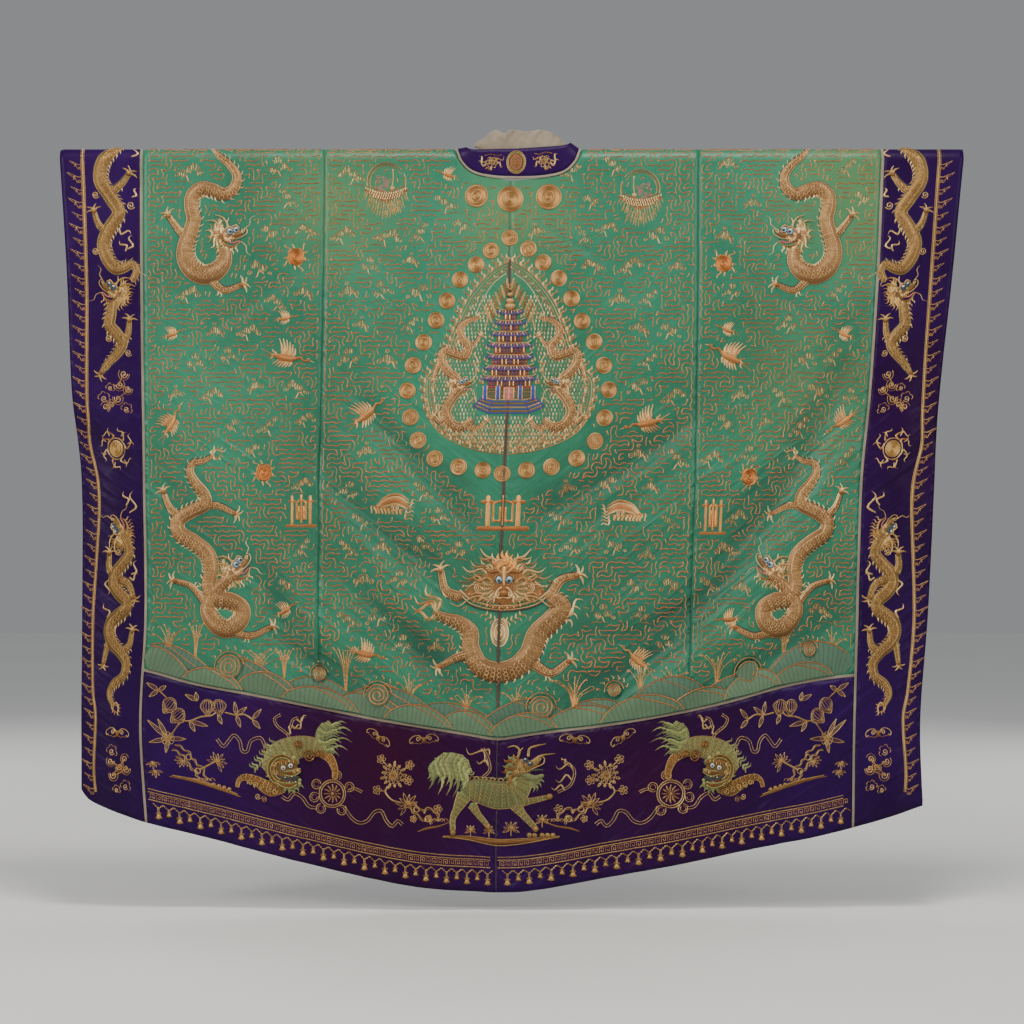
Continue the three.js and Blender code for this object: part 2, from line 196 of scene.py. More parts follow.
lens = bpy.data.cameras.new("view")
lens.sensor_width = sensor_width
lens.lens = sensor_width * view_distance / view_width
lens.clip_end = 100
camera = in_scene("view", lens)
camera.location = (0, -view_distance, view_middle)
camera.rotation_euler = (math.pi / 2, 0, 0)
bpy.context.scene.camera = camera

lamps = [
    dict(name="lamp_left", at=(-3.4, -3.0, 0.9), aim=(0.1, 0, -0.7), size=1.5, watts=130,
         tint=(1, 0.96, 0.9)),
    dict(name="lamp_right", at=(3.6, -3.0, 0.6), aim=(-0.1, 0, -0.7), size=1.5, watts=70,
         tint=(1, 0.96, 0.9)),
    dict(name="lamp_above", at=(0.2, -1.7, 2.4), aim=(0, 0, -0.7), size=1.2, watts=110,
         tint=(1, 0.98, 0.95)),
    dict(name="lamp_behind_left", at=(-3.0, 3.6, 1.2), aim=(0, 0, -0.7), size=2.4, watts=80,
         tint=(1, 1, 1)),
    dict(name="lamp_behind_right", at=(3.2, 3.4, 0.6), aim=(0, 0, -0.7), size=2.4, watts=80,
         tint=(1, 1, 1)),
]
for lamp in lamps:
    light = bpy.data.lights.new(lamp["name"], "AREA")
    light.shape = "DISK"
    light.size = lamp["size"]
    light.energy = lamp["watts"]
    light.color = lamp["tint"]
    stand = in_scene(lamp["name"], light)
    stand.location = lamp["at"]
    toward = np.array(lamp["aim"]) - np.array(lamp["at"])
    stand.rotation_euler = (
        math.acos(-toward[2] / np.linalg.norm(toward)), 0, math.atan2(toward[1], toward[0]) - math.pi / 2)
    stand.visible_camera = False

world = bpy.data.worlds.new("soft_room")
world.use_nodes = True
room = world.node_tree.nodes["Background"]
room.inputs["Color"].default_value = (0.72, 0.74, 0.76, 1)
room.inputs["Strength"].default_value = 0.36
bpy.context.scene.world = world


class Wire:
    """A socket of a material's nodes: + - * / and powers of it add Math nodes."""

    def __init__(self, finish, socket):
        self.finish = finish
        self.socket = socket

    def math(self, operation, *values):
        return self.finish.node("ShaderNodeMath", dict(operation=operation), *values)

    def __add__(self, other):
        return self.math("ADD", self, other)

    def __sub__(self, other):
        return self.math("SUBTRACT", self, other)

    def __rsub__(self, other):
        return self.math("SUBTRACT", other, self)

    def __mul__(self, other):
        return self.math("MULTIPLY", self, other)

    def __pow__(self, other):
        return self.math("POWER", self, other)

    def clamped(self):
        return self.math("MINIMUM", self.math("MAXIMUM", self, 0.0), 1.0)

    __radd__ = __add__
    __rmul__ = __mul__


class Finish:
    """A material: its shader's plain settings, and any node by its type, settings and sockets."""

    def __init__(self, name, **settings):
        self.material = bpy.data.materials.new(name)
        self.material.use_nodes = True
        self.tree = self.material.node_tree
        self.shader = self.tree.nodes["Principled BSDF"]
        for socket, value in settings.items():
            self.shader.inputs[socket.replace("_", " ")].default_value = value
        self.spot = Wire(self, self.tree.nodes.new("ShaderNodeTexCoord").outputs["Object"])

    def node(self, kind, settings, *values, output=0, **named):
        """Adds a node of this type, with its settings, and its sockets in order or by name."""
        made = self.tree.nodes.new(kind)
        for setting, value in settings.items():
            setattr(made, setting, value)
        for key, value in [*enumerate(values), *named.items()]:
            socket = made.inputs[key.replace("_", " ") if isinstance(key, str) else key]
            if isinstance(value, Wire):
                self.tree.links.new(value.socket, socket)
            else:
                socket.default_value = value
        return Wire(self, made.outputs[output])

    def feed(self, **sockets):
        """Joins each wire to the shader's socket of that name."""
        for name, wire in sockets.items():
            self.tree.links.new(wire.socket, self.shader.inputs[name.replace("_", " ")])
        return self

    def stretched(self, scale):
        """Object coordinates, in metres, times a scale for each direction."""
        return self.node("ShaderNodeMapping", {}, Vector=self.spot, Scale=scale)

    def noise(self, scale, detail=2.0, roughness=0.5, at=None):
        return self.node("ShaderNodeTexNoise", {}, Vector=at or self.spot, Scale=scale, Detail=detail,
                         Roughness=roughness)

    def mixed(self, share, first, second):
        """A colour between two, by share."""
        return self.node("ShaderNodeMix", dict(data_type="RGBA"), share, A=first, B=second, output=2)

    def bumped(self, height, reach, strength=1.0):
        """Normals of a surface raised by height times reach metres."""
        return self.node("ShaderNodeBump", {}, Strength=strength, Distance=reach, Height=height)


def colour(red, green, blue):
    """A colour as a dyer's swatch shows it, 0 to 255, turned into light."""
    light = [(c / 255 / 12.92 if c <= 10 else ((c / 255 + 0.055) / 1.055) ** 2.4) for c in (red, green,
                                                                                            blue)]
    return (*light, 1.0)


# Far from the robe the floor glows a little, so that it meets the room without a line.
floor_finish = Finish("pale_floor", Roughness=0.85, Emission_Strength=1.0)
mottle = floor_finish.noise(1.5, 3.0)
far = floor_finish.node("ShaderNodeVectorMath", dict(operation="LENGTH"), floor_finish.spot, output=1)
floor_finish.feed(
    Base_Color=floor_finish.mixed(mottle, colour(206, 205, 202), colour(214, 213, 210)),
    Emission_Color=floor_finish.mixed(((far - 1.2) * 0.25).clamped(), (0, 0, 0, 1),
                                      (0.09, 0.093, 0.096, 1)))
shape = bmesh.new()
bmesh.ops.create_circle(shape, cap_ends=True, segments=64, radius=floor_reach)
bmesh.ops.translate(shape, verts=shape.verts, vec=(0, 0, floor_level))
bmesh.ops.recalc_face_normals(shape, faces=shape.faces)
floor_mesh = bpy.data.meshes.new("floor")
shape.to_mesh(floor_mesh)
shape.free()
floor_mesh.materials.append(floor_finish.material)
floor = in_scene("floor", floor_mesh)
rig.stage(floor)

# ---- The four satin lengths: green silk satin, each woven length runs from the foot of the back
# field up over the shoulders and down the front, and is seamed to its neighbour. The cloth hangs in
# broad drag folds that fall from both shoulders to the middle, with small creases from years of folding.
field_wall = 2.0
seam_gap = 0.3
piping_width = 5.0
pole_radius = (pole_high[2] - pole_low[2]) / 2 / MM
fold_radius = 20.66


def table(columns, *rows):
    """A short table with named columns, as a dictionary of columns."""
    return dict(zip(columns.split(), np.array(rows, float).T))


# Where each seam and edge hangs, measured across from the pole's middle, at drops below it.
hang = table(
    "drop edge_left pipe_left seam_left middle seam_right pipe_right edge_right",
    (0, -851, -698, -353, -2, 351, 698, 850),
    (220, -837, -697, -355, -5, 350, 688, 828),
    (450, -827, -694, -359, -8, 347, 672, 804),
    (600, -811, -692, -362, -15, 344, 657, 796),
    (860, -810, -689, -364, -24, 336, 649, 783),
    (1060, -812, -699, -364, -27, 330, 644, 769),
    (1250, -812, -688, -362, -30, 326, 642, 775),
)
seam_names = ["edge_left", "pipe_left", "seam_left", "middle", "seam_right", "pipe_right", "edge_right"]
shoulder = np.array([hang[name][0] for name in seam_names])

# How far the hem piping and the hem hang below the pole, by the place across at the shoulder.
hem_line = table(
    "across piping hem",
    (-851, 950, 1186), (-836, 951, 1203), (-800, 953, 1218), (-698, 960, 1247), (-600, 985, 1270),
    (-479, 1007, 1300), (-353, 1031, 1330), (-250, 1051, 1353), (-138, 1069, 1371), (-50, 1083, 1377),
    (-2, 1090, 1379), (60, 1081, 1376), (200, 1064, 1352), (351, 1037, 1324), (440, 1019, 1307),
    (540, 993, 1288), (614, 979, 1275), (698, 970, 1257), (780, 968, 1236), (850, 966, 1216),
)

# Drag folds: each crest line sags below the straight line from its start to its end. A depth above
# 0 is a trough, below 0 a ridge.
folds = table(
    "start_x start_drop end_x end_drop sag depth width",
    (30, 672, 340, 488, 10, 11, 30), (100, 765, 430, 560, 30, -8, 40),
    (57, 1041, 640, 370, 125, 13, 40), (94, 905, 329, 807, 26, 8, 28),
    (250, 1020, 640, 520, 90, -9, 42), (336, 999, 637, 807, 30, 9, 34),
    (-55, 690, -290, 440, 20, 10, 30), (-60, 745, -330, 470, 30, -7, 34),
    (-110, 792, -370, 530, 28, 9, 32), (-130, 865, -430, 560, 40, -8, 38),
    (-105, 940, -295, 785, 30, 9, 28), (-25, 1005, -190, 920, 25, 9, 28),
    (-200, 985, -420, 780, 34, -7, 34), (-265, 1008, -460, 820, 28, 10, 32),
    (-395, 835, -690, 540, 35, 7, 38), (-860, 470, -700, 575, 0, 6, 30), (690, 660, 830, 480, 0, 6, 30),
)
# Finer creases, sharper than the drag folds, that the making and the storing left.
creases = table(
    "start_x start_drop end_x end_drop sag depth width",
    (-20, 120, 118, 252, 8, 2.2, 9), (14, 96, 160, 205, 10, -1.8, 11), (40, 112, 196, 190, 8, 1.8, 8),
    (-34, 140, -120, 236, 6, 1.6, 9), (330, 110, 640, 330, 20, 2.2, 16),
    (-340, 150, -600, 330, 16, 1.8, 15), (60, 590, 250, 470, 8, 2.4, 13),
    (150, 640, 360, 500, 12, -2.0, 14), (120, 690, 330, 560, 12, 2.2, 12),
    (200, 800, 480, 600, 26, 2.8, 16), (240, 860, 560, 600, 34, -2.4, 16),
    (180, 905, 430, 760, 22, 2.6, 13), (300, 930, 620, 690, 30, 2.4, 16),
    (100, 985, 380, 860, 20, 2.6, 14), (-70, 620, -240, 500, 8, 2.2, 12),
    (-90, 660, -300, 480, 14, -1.8, 13), (-140, 760, -360, 600, 18, 2.2, 13),
    (-160, 900, -340, 770, 14, 2.6, 12), (-60, 960, -260, 880, 12, 2.4, 12),
    (-220, 930, -440, 760, 22, 2.2, 13), (-330, 960, -560, 800, 20, 2.4, 14),
    (-90, 1030, -300, 950, 12, 2.2, 11), (420, 960, 640, 840, 12, 2.2, 13),
    (500, 420, 640, 300, 6, 2.0, 14), (-560, 640, -680, 470, 8, 2.0, 14),
    (560, 640, 650, 520, 4, -2.0, 12), (-120, 380, -330, 300, 8, -1.4, 16),
    (80, 360, 330, 270, 10, 1.4, 16),
)
belly_height, belly_lowest = 7.0, 1400.0
flutter_height, flutter_length, flutter_starts, flutter_full = 3.0, 240.0, 850.0, 1300.0
fade_starts, fade_full = 10.0, 150.0
edge_rolls = table("side inner outer starts full depth", (-1, 745, 851, 380, 590, 15),
                   (1, 770, 850, 180, 620, 12))
# Only here does the front layer hang past the back one.
peep_hem = table("across tuck", (-900, -5), (-320, -5), (-260, 4), (-120, 4), (-60, -5), (900, -5))
peep_edge_from, peep_edge_out = 690.0, 3.5


def eased(starts, full, value):
    """A smooth step: 0 up to starts, 1 from full on."""
    share = np.clip((value - starts) / (full - starts), 0, 1)
    return share * share * (3 - 2 * share)


def read(rows, key, value, column):
    """A smooth curve through a table's rows: the column where the key column has this value."""
    keys, values = rows[key], rows[column]
    index = np.arange(len(keys))
    before, after = np.maximum(index - 1, 0), np.minimum(index + 1, len(keys) - 1)
    slopes = (values[after] - values[before]) / (keys[after] - keys[before])
    row = np.clip(np.searchsorted(keys, value, side="left") - 1, 0, len(keys) - 2)
    span = keys[row + 1] - keys[row]
    share = np.clip((value - keys[row]) / span, 0, 1)
    start, end, leaving, arriving = values[row], values[row + 1], slopes[row] * span, slopes[row + 1] * span
    return (start + share * leaving + share**2 * (3 * (end - start) - 2 * leaving - arriving)
            + share**3 * (2 * (start - end) + leaving + arriving))


def across_at(across, drop, facing):
    """Across at the shoulder becomes across at a drop: each length keeps its share between seams."""
    lines = np.array([read(hang, "drop", drop, name) for name in seam_names])
    line = np.searchsorted(shoulder[1:-1], across, side="left")
    share = (across - shoulder[line]) / (shoulder[line + 1] - shoulder[line])
    place = np.arange(len(across))
    x = lines[line, place] * (1 - share) + lines[line + 1, place] * share
    proud = np.where(facing > 0, peep_edge_out * eased(peep_edge_from, shoulder[-1], across), 0)
    return x + proud * eased(fade_starts, fade_full, drop)


def shoulder_of(x, drop):
    """The place across at the shoulder of a point that hangs at x."""
    lines = np.array([read(hang, "drop", drop, name) for name in seam_names])
    line = np.clip((x > lines).sum(axis=0) - 1, 0, len(seam_names) - 2)
    place = np.arange(len(x))
    share = (x - lines[line, place]) / (lines[line + 1, place] - lines[line, place])
    return shoulder[line] + share * (shoulder[line + 1] - shoulder[line])


def troughs(rows, x, drop):
    """How deep the table's folds lie at a place."""
    deep = np.zeros_like(x)
    for start_x, start_drop, end_x, end_drop, sag, depth, width in zip(*rows.values()):
        run = end_x - start_x
        share = (x - start_x) / run
        crest = start_drop + share * (end_drop - start_drop) + 4 * sag * share * (1 - share)
        slope = (end_drop - start_drop + 4 * sag * (1 - 2 * share)) / run
        away = (drop - crest) / np.hypot(1, slope)
        ends = eased(-0.12, 0.18, share) * eased(-0.12, 0.18, 1 - share)
        deep += depth * ends * np.exp(-((away / width) ** 2))
    return deep


def relief(x, drop):
    """How far the cloth stands out from the plumb plane under the shoulder fold."""
    out = belly_height * np.sin(math.pi * drop / belly_lowest)
    out = out + flutter_height * np.sin(2 * math.pi * x / flutter_length) * eased(flutter_starts,
                                                                                  flutter_full, drop)
    out = out - troughs(folds, x, drop) - troughs(creases, x, drop)
    # Slight waves that the stiff gold thread pulls into the satin, and fine pleats near the hem.
    out = out + 0.8 * np.sin(x / 23 + 1.7 * np.sin(drop / 61)) * np.sin(drop / 37 + 1.3 * np.sin(x / 53))
    out = out + 0.5 * np.sin(x / 11.3 + 2.1 * np.sin(drop / 29)) * np.sin(drop / 17 + 1.9 * np.sin(x / 31))
    pleats = np.sin(x / 9.5 + 1.4 * np.sin(x / 37)) + 0.6 * np.sin(x / 15.7 + 2)
    out = out + 1.1 * pleats * eased(1120, 1330, drop + 0.00022 * x * x)
    return out * eased(fade_starts, fade_full, drop)


def roll_in(across, drop):
    """How far the outer edges of the side borders roll in behind."""
    inward = np.zeros_like(across)
    for side, inner, outer, starts, full, depth in zip(*edge_rolls.values()):
        inward += depth * eased(inner, outer, side * across) * eased(starts, full, drop)
    return inward


def foot_of(across, level, facing):
    """Level 0 is the shoulder fold, 1 the field's foot, 2 the hem border's head and 3 the hem."""
    half = piping_width / 2 + seam_gap
    piping = read(hem_line, "across", across, "piping")
    tuck = np.where(facing > 0, read(peep_hem, "across", across, "tuck"), 0)
    hem = read(hem_line, "across", across, "hem") + tuck
    stops = np.array([np.zeros_like(piping), piping - half, piping + half, hem])
    step = np.clip(level.astype(int), 0, 2)
    place = np.arange(len(across))
    return stops[step, place] + (level - step) * (stops[step + 1, place] - stops[step, place])


def hung(across, fall, out=0.0):
    """Where a point of the cloth's middle layer hangs, moved out from the cloth by out. All in mm."""
    across, fall = np.broadcast_arrays(np.asarray(across, float), np.asarray(fall, float))
    across, fall = across.ravel(), fall.ravel()
    half_turn = math.pi * fold_radius

    def point(across, fall):
        angle = np.clip(-fall / fold_radius, 0, math.pi)
        facing = np.where(fall < -half_turn / 2, 1.0, -1.0)
        drop = np.where(facing < 0, np.maximum(fall, 0), np.maximum(-fall - half_turn, 0))
        x = across_at(across, drop, facing)
        thick = relief(-facing * x, drop) - roll_in(across, drop)
        y = -fold_radius * np.cos(angle) + facing * thick
        return np.stack([x, y, fold_radius * np.sin(angle) - drop], axis=1)

    middle = point(across, fall)
    step = 1.5
    along_x = point(across + step, fall) - point(across - step, fall)
    along_fall = point(across, fall - step) - point(across, fall + step)
    outward = np.cross(along_x, along_fall)
    outward /= np.linalg.norm(outward, axis=1)[:, None]
    return middle + outward * np.reshape(out, (-1, 1)) if np.size(out) > 1 else middle + outward * out


def fall_of(across, path):
    """Path -4 is the back hem, -2 to -1 the back field from foot to shoulder, -1 to 1 lies over the
    pole, and the front runs down from 1 to its hem at 4."""
    half_turn = math.pi * fold_radius
    back = foot_of(across, np.clip(-path - 1, 0, 3), -np.ones_like(path))
    front = foot_of(across, np.clip(path - 1, 0, 3), np.ones_like(path))
    over = -(path + 1) / 2 * half_turn
    return np.where(path < -1, back, np.where(path > 1, -half_turn - front, over))


def strip(name, at, columns, rows, wall, finishes, beside=None):
    """A wall of cloth on the grid of two lists: at(column, row) gives each point in mm. Its finish can
    read how far each point is from a seam, and how deep in a fold, as mm; the fold depth paints shade."""
    shape = bmesh.new()
    size_x, size_y = len(columns) - 1, len(rows) - 1
    bmesh.ops.create_grid(shape, x_segments=size_x, y_segments=size_y, size=0.5)
    mesh = bpy.data.meshes.new(name)
    shape.to_mesh(mesh)
    shape.free()
    flat = np.empty(len(mesh.vertices) * 3)
    mesh.vertices.foreach_get("co", flat)
    flat = flat.reshape(-1, 3)
    column = np.asarray(columns)[np.rint((flat[:, 0] + 0.5) * size_x).astype(int)]
    row = np.asarray(rows)[np.rint((flat[:, 1] + 0.5) * size_y).astype(int)]
    points = at(column, row)
    mesh.vertices.foreach_set("co", (points * MM).astype(np.float32).ravel())
    if beside is not None:
        near = mesh.attributes.new("beside_seam", "FLOAT", "POINT")
        near.data.foreach_set("value", beside(column, row).astype(np.float32))
        # How deep each point lies in the folds and creases, for the satin to paint shade into the troughs.
        x, drop = np.where(points[:, 1] < 0, 1, -1) * points[:, 0], np.maximum(-points[:, 2], 0)
        depth = (troughs(folds, x, drop) + 1.6 * troughs(creases, x, drop)) * eased(fade_starts,
                                                                                    fade_full, drop)
        deep = mesh.attributes.new("trough", "FLOAT", "POINT")
        deep.data.foreach_set("value", np.maximum(depth, 0).astype(np.float32))
    for finish in finishes:
        mesh.materials.append(finish.material)
    mesh.shade_smooth()
    piece = in_scene(name, mesh)
    wall_maker = piece.modifiers.new("wall", "SOLIDIFY")
    wall_maker.thickness = wall * MM
    wall_maker.offset = 0
    wall_maker.use_quality_normals = True
    if len(finishes) > 1:
        wall_maker.material_offset = 1
        wall_maker.material_offset_rim = 1 if len(finishes) > 2 else 0
    return piece


def satin(name, plain, deep, faded, gloss, spots=()):
    """Silk satin: long warp floats run down the length, dye that has faded unevenly, and painted shade, with some
    dust, that darkens the fold troughs.
    """
    finish = Finish(name, Specular_IOR_Level=gloss)
    warp = finish.noise(1.0, 3.0, 0.6, at=finish.stretched((420, 420, 9)))
    cloudy = finish.noise(3.2, 4.0, 0.55)
    worn = (cloudy * 2.6 - 0.95).clamped()
    shade = finish.mixed(worn, colour(*deep), colour(*plain))
    for (x, drop, reach, strength) in spots:
        level = finish.node("ShaderNodeVectorMath", dict(operation="MULTIPLY"), finish.spot, (1, 0, 1))
        away = finish.node("ShaderNodeVectorMath", dict(operation="DISTANCE"), level,
                           (x * MM, 0, -drop * MM), output=1)
        share = ((1 - away * (1 / (reach * MM))).clamped() * (cloudy + 0.45) * strength).clamped()
        shade = finish.mixed(share, shade, colour(*faded))
    shade = finish.mixed((warp * 0.5 - 0.1).clamped(), shade, colour(*faded))
    beside = finish.node("ShaderNodeAttribute", dict(attribute_name="beside_seam"), output=2)
    stained = ((1 - beside * (1 / 6)).clamped() * (cloudy + 0.25)).clamped()
    shade = finish.mixed(stained * 0.12, shade, colour(*[c * 0.42 for c in deep]))
    # Painted shade, with some dust: the colour darkens with how deep each point lies in the drag folds and creases.
    trough = finish.node("ShaderNodeAttribute", dict(attribute_name="trough"), output=2)
    finish.feed(Base_Color=finish.mixed((trough * 0.06).clamped() * 0.66, shade,
                                        colour(*[c * 0.56 for c in deep])))
    finish.feed(Roughness=0.34 + cloudy * 0.16 + warp * 0.06)
    puckers = finish.noise(38.0, 3.0, 0.5)
    weave = finish.noise(1.0, 1.0, 0.5, at=finish.stretched((1500, 1500, 260)))
    # Small sharp wrinkles run the way the drag folds do, most of them in the lower half.
    spread = finish.node("ShaderNodeVectorMath", dict(operation="ABSOLUTE"), finish.spot)
    slanted = finish.node("ShaderNodeMapping", {}, Vector=spread, Rotation=(0, math.radians(-38), 0))
    wrinkles = finish.noise(1.0, 2.0, 0.45, at=finish.node(
        "ShaderNodeMapping", {}, Vector=slanted, Scale=(5.5, 1, 34)))
    low = (finish.node("ShaderNodeSeparateXYZ", {}, finish.spot, output=2) * -1.6 - 0.12).clamped()
    ridges = (1 - (wrinkles * 7 - 3.5).math("ABSOLUTE", wrinkles * 7 - 3.5)).clamped()
    pull = finish.bumped(puckers * 0.7 + ridges * low * (cloudy * 1.6).clamped(), 0.0042, 0.6)
    finish.feed(Normal=finish.node("ShaderNodeBump", {}, Strength=0.25, Distance=0.0003, Height=weave,
                                   Normal=pull))
    return finish


green_satin = satin(
    "green_satin", plain=(20, 117, 90), deep=(6, 88, 68), faded=(82, 122, 74), gloss=0.4,
    spots=[(655, 60, 210, 0.8), (-330, 90, 170, 0.55), (0, 110, 150, 0.6), (560, 430, 190, 0.35)])
lining_silk = Finish("lining_silk", Roughness=0.6, Sheen_Weight=0.1)
tabby = lining_silk.noise(1.0, 2.0, 0.5, at=lining_silk.stretched((900, 900, 300)))
lining_silk.feed(Base_Color=lining_silk.mixed(lining_silk.noise(6.0), colour(120, 108, 58),
                                              colour(140, 128, 76)),
                 Normal=lining_silk.bumped(tabby, 0.0003, 0.4))


def steps(first, last, count):
    """Evenly spaced values from first to last, count steps apart."""
    return np.linspace(first, last, count + 1)


def joined(*lists):
    """Lists that each start where the last one ends, as one list."""
    return np.concatenate([lists[0], *(part[1:] for part in lists[1:])])


# The neckline: out from the neck's middle line, and the seam's and the standing edge's places.
neck_middle, neck_seat, neck_seam_gap, neck_piping_width, neck_tilt = 12.0, 22.0, 1.0, 4.0, 0.045
shoulder_station, front_hem_station = 5, 11
front_seam_out, front_free_out, front_straight_from = 56.0, 5.0, 300.0
neckband = table(
    "station seam_out seam_y seam_z free_out free_y free_z",
    (0, 0, -22, -31, 0, -19.5, 21), (1, 46, -22, -29, 45, -19.5, 22), (2, 84, -22, -20, 80, -19.5, 23),
    (3, 104, -22, -2, 92, -17, 25), (4, 112, -15, 16, 97, -9, 28), (5, 114, 0, 22, 97, 4, 29),
    (6, 112, 16, 15, 92, 16, 22), (7, 106, 22, -6, 80, 22, 5), (8, 92, 22, -50, 58, 22, -32),
    (9, 72, 22, -110, 28, 22, -95), (10, 58, 22, -180, 8, 22, -175),
)


def mix(first, second, share):
    """A value between two, by share."""
    return first + (second - first) * share


def neck_point(side, station, share):
    """Share 0 is the neckband's sewn edge, 1 its standing edge."""
    column = {name: read(neckband, "station", station, name) for name in neckband}
    seat = neck_seat / np.hypot(column["seam_y"], np.maximum(column["seam_z"], 0))
    seam_z = column["seam_z"] * np.where(column["seam_z"] > 0, seat, 1)
    down = np.maximum(station - (front_hem_station - 1), 0)
    edge = mix(front_seam_out, front_free_out, share)
    out = mix(mix(column["seam_out"], column["free_out"], share), edge, eased(0, 0.1, down))
    tilt = side * neck_tilt * out * (1 - eased(shoulder_station, shoulder_station + 3, station))
    hem = foot_of(np.zeros_like(station), np.full_like(station, 3.0), np.ones_like(station))
    z = mix(mix(seam_z, column["free_z"] + tilt, share), -hem, down)
    x = mix(neck_middle, read(hang, "drop", -z, "middle"), eased(0, front_straight_from, -z)) + side * out
    lie = np.where(station > shoulder_station, relief(-x, -z), 0)
    return np.stack([x, mix(column["seam_y"] * seat, column["free_y"], share) + lie, z], axis=1)


def beside_neck(side, station, away):
    """A point beside the sewn edge, moved out over the cloth that lies round the neck."""
    zero = np.zeros_like(station)
    seam = neck_point(side, station, zero)
    ahead = neck_point(side, np.minimum(station + 0.01, front_hem_station), zero)
    behind = neck_point(side, np.maximum(station - 0.01, 0), zero)
    normal = np.stack([zero, seam[:, 1], np.maximum(seam[:, 2], 0)], axis=1)
    outward = np.cross(ahead - behind, normal) * np.reshape(side, (-1, 1))
    outward[station == 0] = (0, 0, -1)
    outward /= np.linalg.norm(outward, axis=1)[:, None]
    return seam + outward * np.reshape(away, (-1, 1))


def neck_edge(side):
    """The cut edge of the satin beside the neckband: where it lies at each fall."""
    station = np.concatenate([steps(0, 5, 60), steps(5, 11, 90)[1:]])
    edge = beside_neck(float(side), station, neck_piping_width + 2 * neck_seam_gap)
    angle = np.arctan2(np.maximum(edge[:, 2], 0), -edge[:, 1])
    drop = np.maximum(-edge[:, 2], 0)
    fall = np.where(edge[:, 1] < 0, drop, -math.pi * fold_radius - drop)
    fall = np.where(edge[:, 2] > 0, -fold_radius * angle, fall)
    order = np.argsort(fall)
    return fall[order], edge[order, 0]


half_piping = piping_width / 2 + seam_gap
back_rows = joined(steps(-2, -1.06, 116), steps(-1.06, -1, 18))
front_rows = joined(steps(1, 1.2, 18), steps(1.2, 2, 44))
over_rows = steps(-1, 1, 14)
length_rows = joined(back_rows, over_rows, front_rows)
lengths = [
    dict(name="side_left", edge=shoulder[1] + half_piping, seam=shoulder[2] - seam_gap / 2, side=0),
    dict(name="centre_left", edge=shoulder[3] - seam_gap / 2, seam=shoulder[2] + seam_gap / 2, side=-1),
    dict(name="centre_right", edge=shoulder[3] + seam_gap / 2, seam=shoulder[4] - seam_gap / 2, side=1),
    dict(name="side_right", edge=shoulder[5] - half_piping, seam=shoulder[4] + seam_gap / 2, side=0),
]
length_columns = 38
cut_edges = {side: neck_edge(side) for side in (-1, 1)}


def beside_opening(side, edge, fall):
    """The cut edge of a piece that borders the neck opening and the open front on that side."""
    falls, places = cut_edges[side]
    drop = np.where(fall > 0, fall, np.maximum(-fall - math.pi * fold_radius, 0))
    return np.where(fall < falls[-1], shoulder_of(np.interp(fall, falls, places), drop), edge)


def on_flat(cut, share, path):
    """Across and fall of a point between a piece's edge and its seam, by the share of the way."""
    edge, seam = np.full_like(share, cut["edge"]), np.full_like(share, cut["seam"])
    if cut["side"]:
        edge = beside_opening(cut["side"], edge, fall_of(mix(edge, seam, share), path))
    across = mix(edge, seam, share)
    return across, fall_of(across, path)


def between(cut):
    """Where a point of a piece hangs, by the share from its edge to its seam and the path."""
    return lambda share, path: hung(*on_flat(cut, share, path))


def cut_size(cut, first, last):
    """What a piece was cut to, as flat's two sides and area in metres, from path first to path last."""
    share, path = np.meshgrid(steps(0, 1, 60), steps(first, last, 400), indexing="ij")
    across, fall = (part.reshape(share.shape) * MM for part in on_flat(cut, share.ravel(), path.ravel()))
    area = float((abs(np.diff(across, axis=0))[:, :-1] * abs(np.diff(fall, axis=1))[:-1]).sum())
    return dict(flat=(float(np.ptp(across)), float(np.ptp(fall))), area=area)


def shares_of(cut, count):
    """Shares in the order that runs from left to right."""
    return steps(0, 1, count) if cut["edge"] < cut["seam"] else steps(1, 0, count)


satin_pieces = {}
for cut in lengths:
    wide = abs(cut["edge"] - cut["seam"])
    piece = strip(f"satin_{cut['name']}", between(cut), shares_of(cut, length_columns), length_rows,
                  field_wall, [green_satin, lining_silk],
                  beside=lambda share, path, wide=wide: np.minimum(share, 1 - share) * wide)
    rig.ride(piece, "root")
    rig.replaces(piece, f"field_{cut['name']}")
    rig.slot(piece, "green_satin")
    satin_pieces[cut["name"]] = piece

# ---- The side borders: purple silk satin, one band down each side from hem to hem over the
# shoulders. Their outer edges roll in behind, and the olive lining shows inside.
border_wall = 2.4
purple_satin = satin(
    "purple_satin", plain=(38, 0, 75), deep=(25, 0, 51), faded=(43, 0, 34), gloss=0.12,
    spots=[(-230, 1130, 360, 1.1), (260, 1150, 300, 0.8), (820, 500, 260, 0.4)])
hem_rows = steps(-4, -3, 26)
border_rows = joined(hem_rows, steps(-3, -2, 1), steps(-2, -1, 104), over_rows, steps(1, 2, 60),
                     steps(2, 3, 1), steps(3, 4, 16))
sides = [
    dict(hand="left", edge=shoulder[0], seam=shoulder[1] - half_piping, piping=shoulder[1], side=0),
    dict(hand="right", edge=shoulder[6], seam=shoulder[5] + half_piping, piping=shoulder[5], side=0),
]
border_columns = 18
border_pieces = {}
for cut in sides:
    piece = strip(f"purple_side_{cut['hand']}", between(cut), shares_of(cut, border_columns), border_rows,
                  border_wall, [purple_satin, lining_silk], beside=lambda share, path: (1 - share) * 150)
    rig.ride(piece, "root")
    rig.replaces(piece, f"side_border_{cut['hand']}")
    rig.slot(piece, "purple_satin")
    border_pieces[f"side_{cut['hand']}"] = piece

